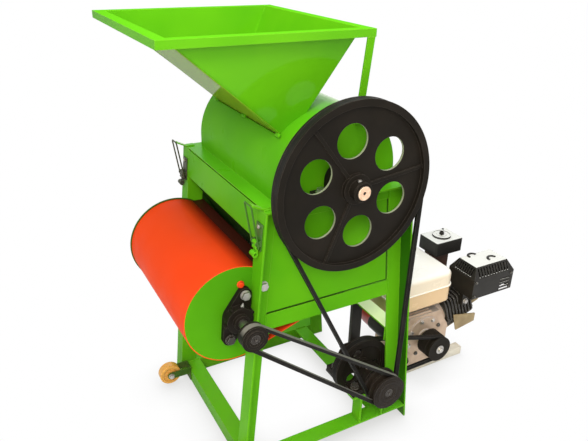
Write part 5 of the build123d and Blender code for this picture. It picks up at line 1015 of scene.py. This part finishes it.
# Engine bed: two light angles under the engine, brushed with a pale primer; the post of the inner
# jackshaft bearing, the starter motor and the muffler are in black enamel.
PALE_RUBBED = (0.800, 0.740, 0.640)
BLACK = dict(
    light=(0.020, 0.0180, 0.0150), deep=(0.012, 0.0105, 0.0090), rubbed=(0.130, 0.120, 0.105),
    tone_scale=20.0, ripple=0.06,
)
coat(
    "pale_primer", light=(0.860, 0.820, 0.740), deep=(0.760, 0.690, 0.580), rubbed=PALE_RUBBED,
    smooth=0.5, rough=0.7, tone_scale=20.0, dusty=0.15, on="engine_bed",
)
black_enamel = coat(
    "black_enamel", smooth=0.34, rough=0.50, specular=0.22, dusty=0.10,
    on="jackshaft_post starter_motor muffler", **BLACK,
)


# Engine block: sand-cast aluminium, warm pinkish grey; cylinder and head fins are black with bright
# machined edges, the rocker cover is painted beige, and small bolts hold the covers.
ALLOY = dict(
    light=(0.710, 0.545, 0.425), deep=(0.500, 0.360, 0.265), metallic=0.35, smooth=0.46,
    rough=0.64, specular=0.3, tone_scale=24.0, ripple_scale=1100.0, ripple=0.15,
    dust_height=0.40, slopes=(((0.560, 0.500, 0.480), UP, 0.30, 0.85),),
)
BEIGE_LIGHT = (0.470, 0.360, 0.200)
FIN_BLACK = (0.020, 0.0185, 0.0180)
CYLINDER_LEAN = math.radians(20.0)
CYLINDER_MIDDLE = -0.0225
FIN_START = 0.097
FIN_HALF = 0.0475
FIN_LAP = 0.004
HEAD_REACH = 0.192
HEAD_BOLT_RISE = 0.031
HEAD_BOLT_ALONG = 0.0455
COVER_BOLT_CIRCLE = 0.0545
COVER_RISE = 0.006
BRIGHT_BOLTS = (62.0, 105.0, 150.0, 195.0)
DARK_BOLTS = (27.0, 244.0, 290.0, 335.0)
CASE_HALF = 0.090
CASE_TOP = 0.1995
SIDE_BOLT_DEPTH = -0.058
SIDE_BOLT_HEIGHTS = (0.060, 0.098)
EXHAUST_NUT = (0.3807, -0.0865, 0.2093)
COWL_CORNERS = ((0.3557, 0.1612), (0.4440, 0.1424), (0.4436, 0.1157), (0.3732, 0.1033))
COWL_FACE = -0.0725
COWL_THICK = 0.005
COWL_SEAT = 0.0005
CASE_RIB_SIZE = (0.100, 0.0045, 0.0065)
CASE_RIB_X = 0.218
CASE_RIB_DEPTHS = (-0.074, -0.062, -0.050, -0.038)
OIL_PLUG = (0.182, -0.0805, 0.064)
crank_axle = axles["crank_spin"]
case_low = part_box("crankcase")[0]
reach_way = Vector((math.cos(CYLINDER_LEAN), 0.0, math.sin(CYLINDER_LEAN)))
rise_way = Vector((-math.sin(CYLINDER_LEAN), 0.0, math.cos(CYLINDER_LEAN)))
fin_reach = crank_axle.dot(reach_way) + FIN_START
fin_foot = crank_axle.dot(rise_way) - FIN_HALF
cast_alloy = coat("cast_alloy", rubbed=(0.760, 0.720, 0.680), dusty=0.18, **ALLOY)
beige_cover = coat(
    "beige_cover", BEIGE_LIGHT, deep=(0.290, 0.210, 0.110), rubbed=PALE_RUBBED,
    smooth=0.40, rough=0.58, tone_scale=24.0, dusty=0.15, on="rocker_cover",
)
coat(
    "block_alloy", rubbed=(0.620, 0.600, 0.580), edge=0.0011, spread=6.0, dusty=0.15,
    bands=(
        (FIN_BLACK, (reach_way, fin_reach, BEYOND)),
        (BEIGE_LIGHT, (reach_way, fin_reach - FIN_LAP, BEYOND), (rise_way, -BEYOND, fin_foot)),
    ),
    on="crankcase", **ALLOY,
)


def cover_bolts(angles):
    """Places of bolts on the round side cover, at angles round the crank."""
    return [
        laid_at(
            round_axle(crank_axle, COVER_BOLT_CIRCLE, angle, case_low.y + COVER_RISE)[0],
            NEAR, spin=math.radians(angle), size=0.55,
        )
        for angle in angles
    ]


bright_places = cover_bolts(BRIGHT_BOLTS)
for z in SIDE_BOLT_HEIGHTS:
    side_place = (crank_axle.x + CASE_HALF, SIDE_BOLT_DEPTH, z)
    bright_places.append(laid_at(side_place, ENGINE_WAY, spin=0.3, size=0.60))
for rise in (-HEAD_BOLT_RISE, HEAD_BOLT_RISE):
    head = crank_axle + reach_way * HEAD_REACH + rise_way * rise
    for y in (CYLINDER_MIDDLE - HEAD_BOLT_ALONG, CYLINDER_MIDDLE + HEAD_BOLT_ALONG):
        bright_places.append(laid_at((head.x, y, head.z), reach_way, spin=0.1, size=0.40))
bright_places.append(laid_at(EXHAUST_NUT, NEAR, spin=0.4, size=0.72))
bolt_on(bright_places, "engine_bolts_bright")
bolt_on(cover_bolts(DARK_BOLTS), "engine_bolts_dark", finish=bolt_zinc)

cowl = bar_blank(1.0, COWL_THICK, 1.0)
for (x, z), (next_x, next_z) in zip(COWL_CORNERS, COWL_CORNERS[1:] + COWL_CORNERS[:1]):
    trim(cowl, ((x, 0.0, z), (z - next_z, 0.0, next_x - x)))
soften(cowl, 0.0018, 3)
cowl_place = Matrix.Translation((0.0, COWL_FACE - COWL_THICK / 2 + COWL_SEAT, 0.0))
fit_out(cowl, [cowl_place], "cylinder_cowl", beige_cover)

case_rib = tapered_bar(CASE_RIB_SIZE, 0.0008, 0.96, 0.55)
case_rib_places = [laid_at((CASE_RIB_X, y, CASE_TOP)) for y in CASE_RIB_DEPTHS]
fit_out(case_rib, case_rib_places, "case_ribs", cast_alloy)

plug = turned(0.0125, 0.0060, 40, 0.0008, (0.0030, 0.0045), (0.0016, -0.0020))
fit_out(plug, [laid_at(OIL_PLUG, NEAR)], "oil_plug", black_enamel)

crank_head = hex_bolt(head=0.0078, height=0.0055, washer=0.0125, plate=0.0022)
crank_place = laid_at((crank_axle.x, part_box("engine_pulley")[0].y, crank_axle.z), NEAR, spin=0.35)
fit_out(crank_head, [crank_place], "crank_bolt", zinc_plate, "crank")


# Engine shroud and recoil cover: pressed steel in gloss red, bolted over the flywheel; the recoil cover
# has raised air louvres and is held by three screws.
LOUVRES = 14
LOUVRE_SIZE = (0.021, 0.0048, 0.0030)
LOUVRE_CIRCLE = 0.034
LOUVRE_LEAN = 0.0012
RECOIL_RIM_DEPTH = 0.022
RECOIL_SCREW_CIRCLE = 0.066
RECOIL_SCREW_ANGLES = (30.0, 150.0, 270.0)
red_enamel = coat(
    "red_enamel", light=(0.520, 0.026, 0.018), deep=(0.400, 0.018, 0.013), rubbed=(0.660, 0.130, 0.095),
    smooth=0.22, rough=0.36, specular=0.3, dusty=0.12, on="fan_shroud recoil_starter",
)
recoil_low, recoil_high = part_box("recoil_starter")
louvre = tapered_bar(LOUVRE_SIZE, 0.0007, 0.86, 0.30, LOUVRE_LEAN)
louvre_places = [
    stood_out(*round_axle(crank_axle, LOUVRE_CIRCLE, 360.0 * step / LOUVRES, recoil_high.y), FAR)
    for step in range(LOUVRES)
]
fit_out(louvre, louvre_places, "recoil_louvres", red_enamel)
recoil_rim = recoil_low.y + RECOIL_RIM_DEPTH
recoil_screw_places = [
    laid_at(round_axle(crank_axle, RECOIL_SCREW_CIRCLE, angle, recoil_rim)[0], FAR, spin=0.2, size=0.52)
    for angle in RECOIL_SCREW_ANGLES
]
bolt_on(recoil_screw_places, "recoil_screws")


# Fuel tank: two moulded cream shells that meet in a raised seam, white on top, a warmer cream on the sides as
# painted light and tan below the seam as painted shade; it sits on a black bracket, whose black also stands
# for the shade under the tank, and the cap is black with gripping ribs.
TANK_LOWER_PAINTED_SHADE = (0.840, 0.590, 0.350)
TANK_SIDE_PAINTED_LIGHT = (0.920, 0.790, 0.640)
SEAM_HEIGHT = 0.283
SEAM_REACH = 0.0035
SEAM_THICK = 0.0045
BRACKET_TOP = 0.2145
TANK_CORNER = 0.026
PLASTIC = dict(
    light=(0.020, 0.0185, 0.0170), deep=(0.012, 0.0110, 0.0105), rubbed=(0.085, 0.080, 0.075),
    smooth=0.36, rough=0.50, specular=0.2, tone_scale=12.0, ripple_scale=2200.0,
    ripple=0.10,
)
SIDE_FACE = 0.1
CAP_RADIUS = 0.026
CAP_PLAY = 0.0006
CAP_FOOT = 0.002
GRIP_SIDES = 60
GRIP_SHARE = 0.72
GRIP_RISE = 0.0016
cream_gloss = coat(
    "cream_gloss", light=(0.950, 0.935, 0.905), deep=(0.890, 0.850, 0.790), rubbed=(0.940, 0.920, 0.880),
    smooth=0.18, rough=0.30, tone_scale=7.0, specular=0.4, ripple=0.02,
    slopes=((TANK_SIDE_PAINTED_LIGHT, UP, 0.80, 0.20),), on="fuel_tank",
    bands=((TANK_LOWER_PAINTED_SHADE, (UP, BRACKET_TOP, SEAM_HEIGHT)), (BLACK["light"], (UP, -BEYOND, BRACKET_TOP))),
)
tank_low, tank_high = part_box("fuel_tank")
tank_size = tank_high - tank_low
tank_middle = (tank_low + tank_high) / 2
seam = bar_blank(tank_size.x + 2 * SEAM_REACH, tank_size.y + 2 * SEAM_REACH, SEAM_THICK)


def is_corner(edge):
    """The four upright edges of the seam's bar."""
    first, second = (seam.data.vertices[corner].co for corner in edge.vertices)
    return abs(first.z - second.z) > SEAM_THICK / 2


pick(seam, is_corner, "EDGE")
bpy.ops.mesh.bevel(offset=TANK_CORNER + SEAM_REACH, segments=8, affect="EDGES")
close_up()
soften(seam, 0.0016, 3)
seam_place = laid_at((tank_middle.x, tank_middle.y, SEAM_HEIGHT - SEAM_THICK / 2))
fit_out(seam, [seam_place], "tank_seam", cream_gloss)

black_plastic = coat("black_plastic", dusty=0.10, on="fuel_cap", **PLASTIC)
cap_low, cap_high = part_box("fuel_cap")
cap_axle = axles["fuel_cap_turn"]


def is_grip(face):
    """Two of every three side faces, which stand out as a rib."""
    share = (math.atan2(face.center.y, face.center.x) + math.pi) / (2 * math.pi)
    return abs(face.normal.z) < SIDE_FACE and int(share * GRIP_SIDES) % 3 != 0


grip = round_blank(CAP_RADIUS - CAP_PLAY, (cap_high.z - cap_low.z) * GRIP_SHARE, GRIP_SIDES)
pick(grip, is_grip)
bpy.ops.mesh.extrude_region_shrink_fatten(TRANSFORM_OT_shrink_fatten={"value": GRIP_RISE})
close_up()
soften(grip, 0.0003)
grip_place = laid_at((cap_axle.x, cap_axle.y, cap_low.z + CAP_FOOT))
fit_out(grip, [grip_place], "cap_grip", black_plastic, "cap")


# Air filter: a moulded black box on the side of the engine, with a pale painted highlight on top; its lid has
# a raised knob and is held by a wing nut on a stud.
PAINTED_TOP_HIGHLIGHT = (0.760, 0.757, 0.745)
STUD_HEIGHT = 0.018
KNOB_RADIUS = 0.0265
KNOB_RISE = 0.006
KNOB_SEAT = 0.0005
WING_SEAT = 0.002
WING_FACE = 0.96
WING_REACH = 0.0080
WING_RISE = 0.0060
filter_plastic = coat(
    "filter_plastic", slopes=((PAINTED_TOP_HIGHLIGHT, UP, 0.80, 0.97),), on="air_filter", **PLASTIC
)
filter_low, filter_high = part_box("air_filter")
filter_middle = (filter_low + filter_high) / 2
lid_top = filter_high.z - STUD_HEIGHT
knob = turned(KNOB_RADIUS, KNOB_RISE, 64, 0.0006, (0.0022, -0.0012), (0.010, 0.0006))
knob_place = laid_at((filter_middle.x, filter_middle.y, lid_top - KNOB_SEAT))
fit_out(knob, [knob_place], "filter_knob", filter_plastic)
wing = round_blank(0.0068, 0.0080, 24)
pick(wing, lambda face: abs(face.normal.z) < SIDE_FACE and abs(face.normal.x) > WING_FACE)
bpy.ops.mesh.extrude_region_shrink_fatten(TRANSFORM_OT_shrink_fatten={"value": WING_REACH})
bpy.ops.transform.translate(value=(0.0, 0.0, WING_RISE))
close_up()
soften(wing, 0.0008)
wing_place = laid_at((filter_middle.x, filter_middle.y, lid_top + KNOB_RISE - WING_SEAT), spin=0.7)
fit_out(wing, [wing_place], "filter_wing_nut", black_enamel)


# Carburettor and muffler: the carburettor is a small dark casting under the filter; the muffler sits in a
# slotted sheet guard, black with a pale painted highlight on its flat top, with two hooded vents and corner
# screws.
HOOD_RADIUS = 0.0135
HOOD_WIRE = 0.0036
HOOD_PLACES = ((0.412, -0.060), (0.452, -0.096))
GUARD_SCREWS = ((0.364, 0.252), (0.496, 0.252), (0.364, 0.297), (0.496, 0.297))
coat(
    "carb_cast", light=(0.085, 0.038, 0.028), deep=(0.045, 0.022, 0.017), rubbed=(0.240, 0.150, 0.120),
    smooth=0.45, rough=0.62, tone_scale=30.0, dusty=0.10, on="carburettor",
)
coat(
    "guard_sheet", smooth=0.32, rough=0.48,
    slopes=((PAINTED_TOP_HIGHLIGHT, UP, 0.90, 0.98),), on="muffler_guard", **BLACK,
)
guard_low, guard_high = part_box("muffler_guard")
bpy.ops.mesh.primitive_torus_add(
    major_radius=HOOD_RADIUS, minor_radius=HOOD_WIRE, major_segments=48, minor_segments=12,
    location=(0.0, 0.0, 0.0),
)
hood = bpy.context.object
trim(hood, ((0.0, 0.0, 0.0), (0.0, 0.0, -1.0)), ((0.0, 0.0, 0.0), (0.15, 1.0, 0.0)))
soften(hood, 0.0005)
hood_places = [laid_at((x, y, guard_high.z), spin=0.35) for x, y in HOOD_PLACES]
fit_out(hood, hood_places, "guard_hoods", black_enamel)
guard_screw_places = [laid_at((x, guard_low.y, z), NEAR, spin=0.3, size=0.42) for x, z in GUARD_SCREWS]
bolt_on(guard_screw_places, "guard_screws", finish=bolt_zinc)
set_aside(bolt_pattern)
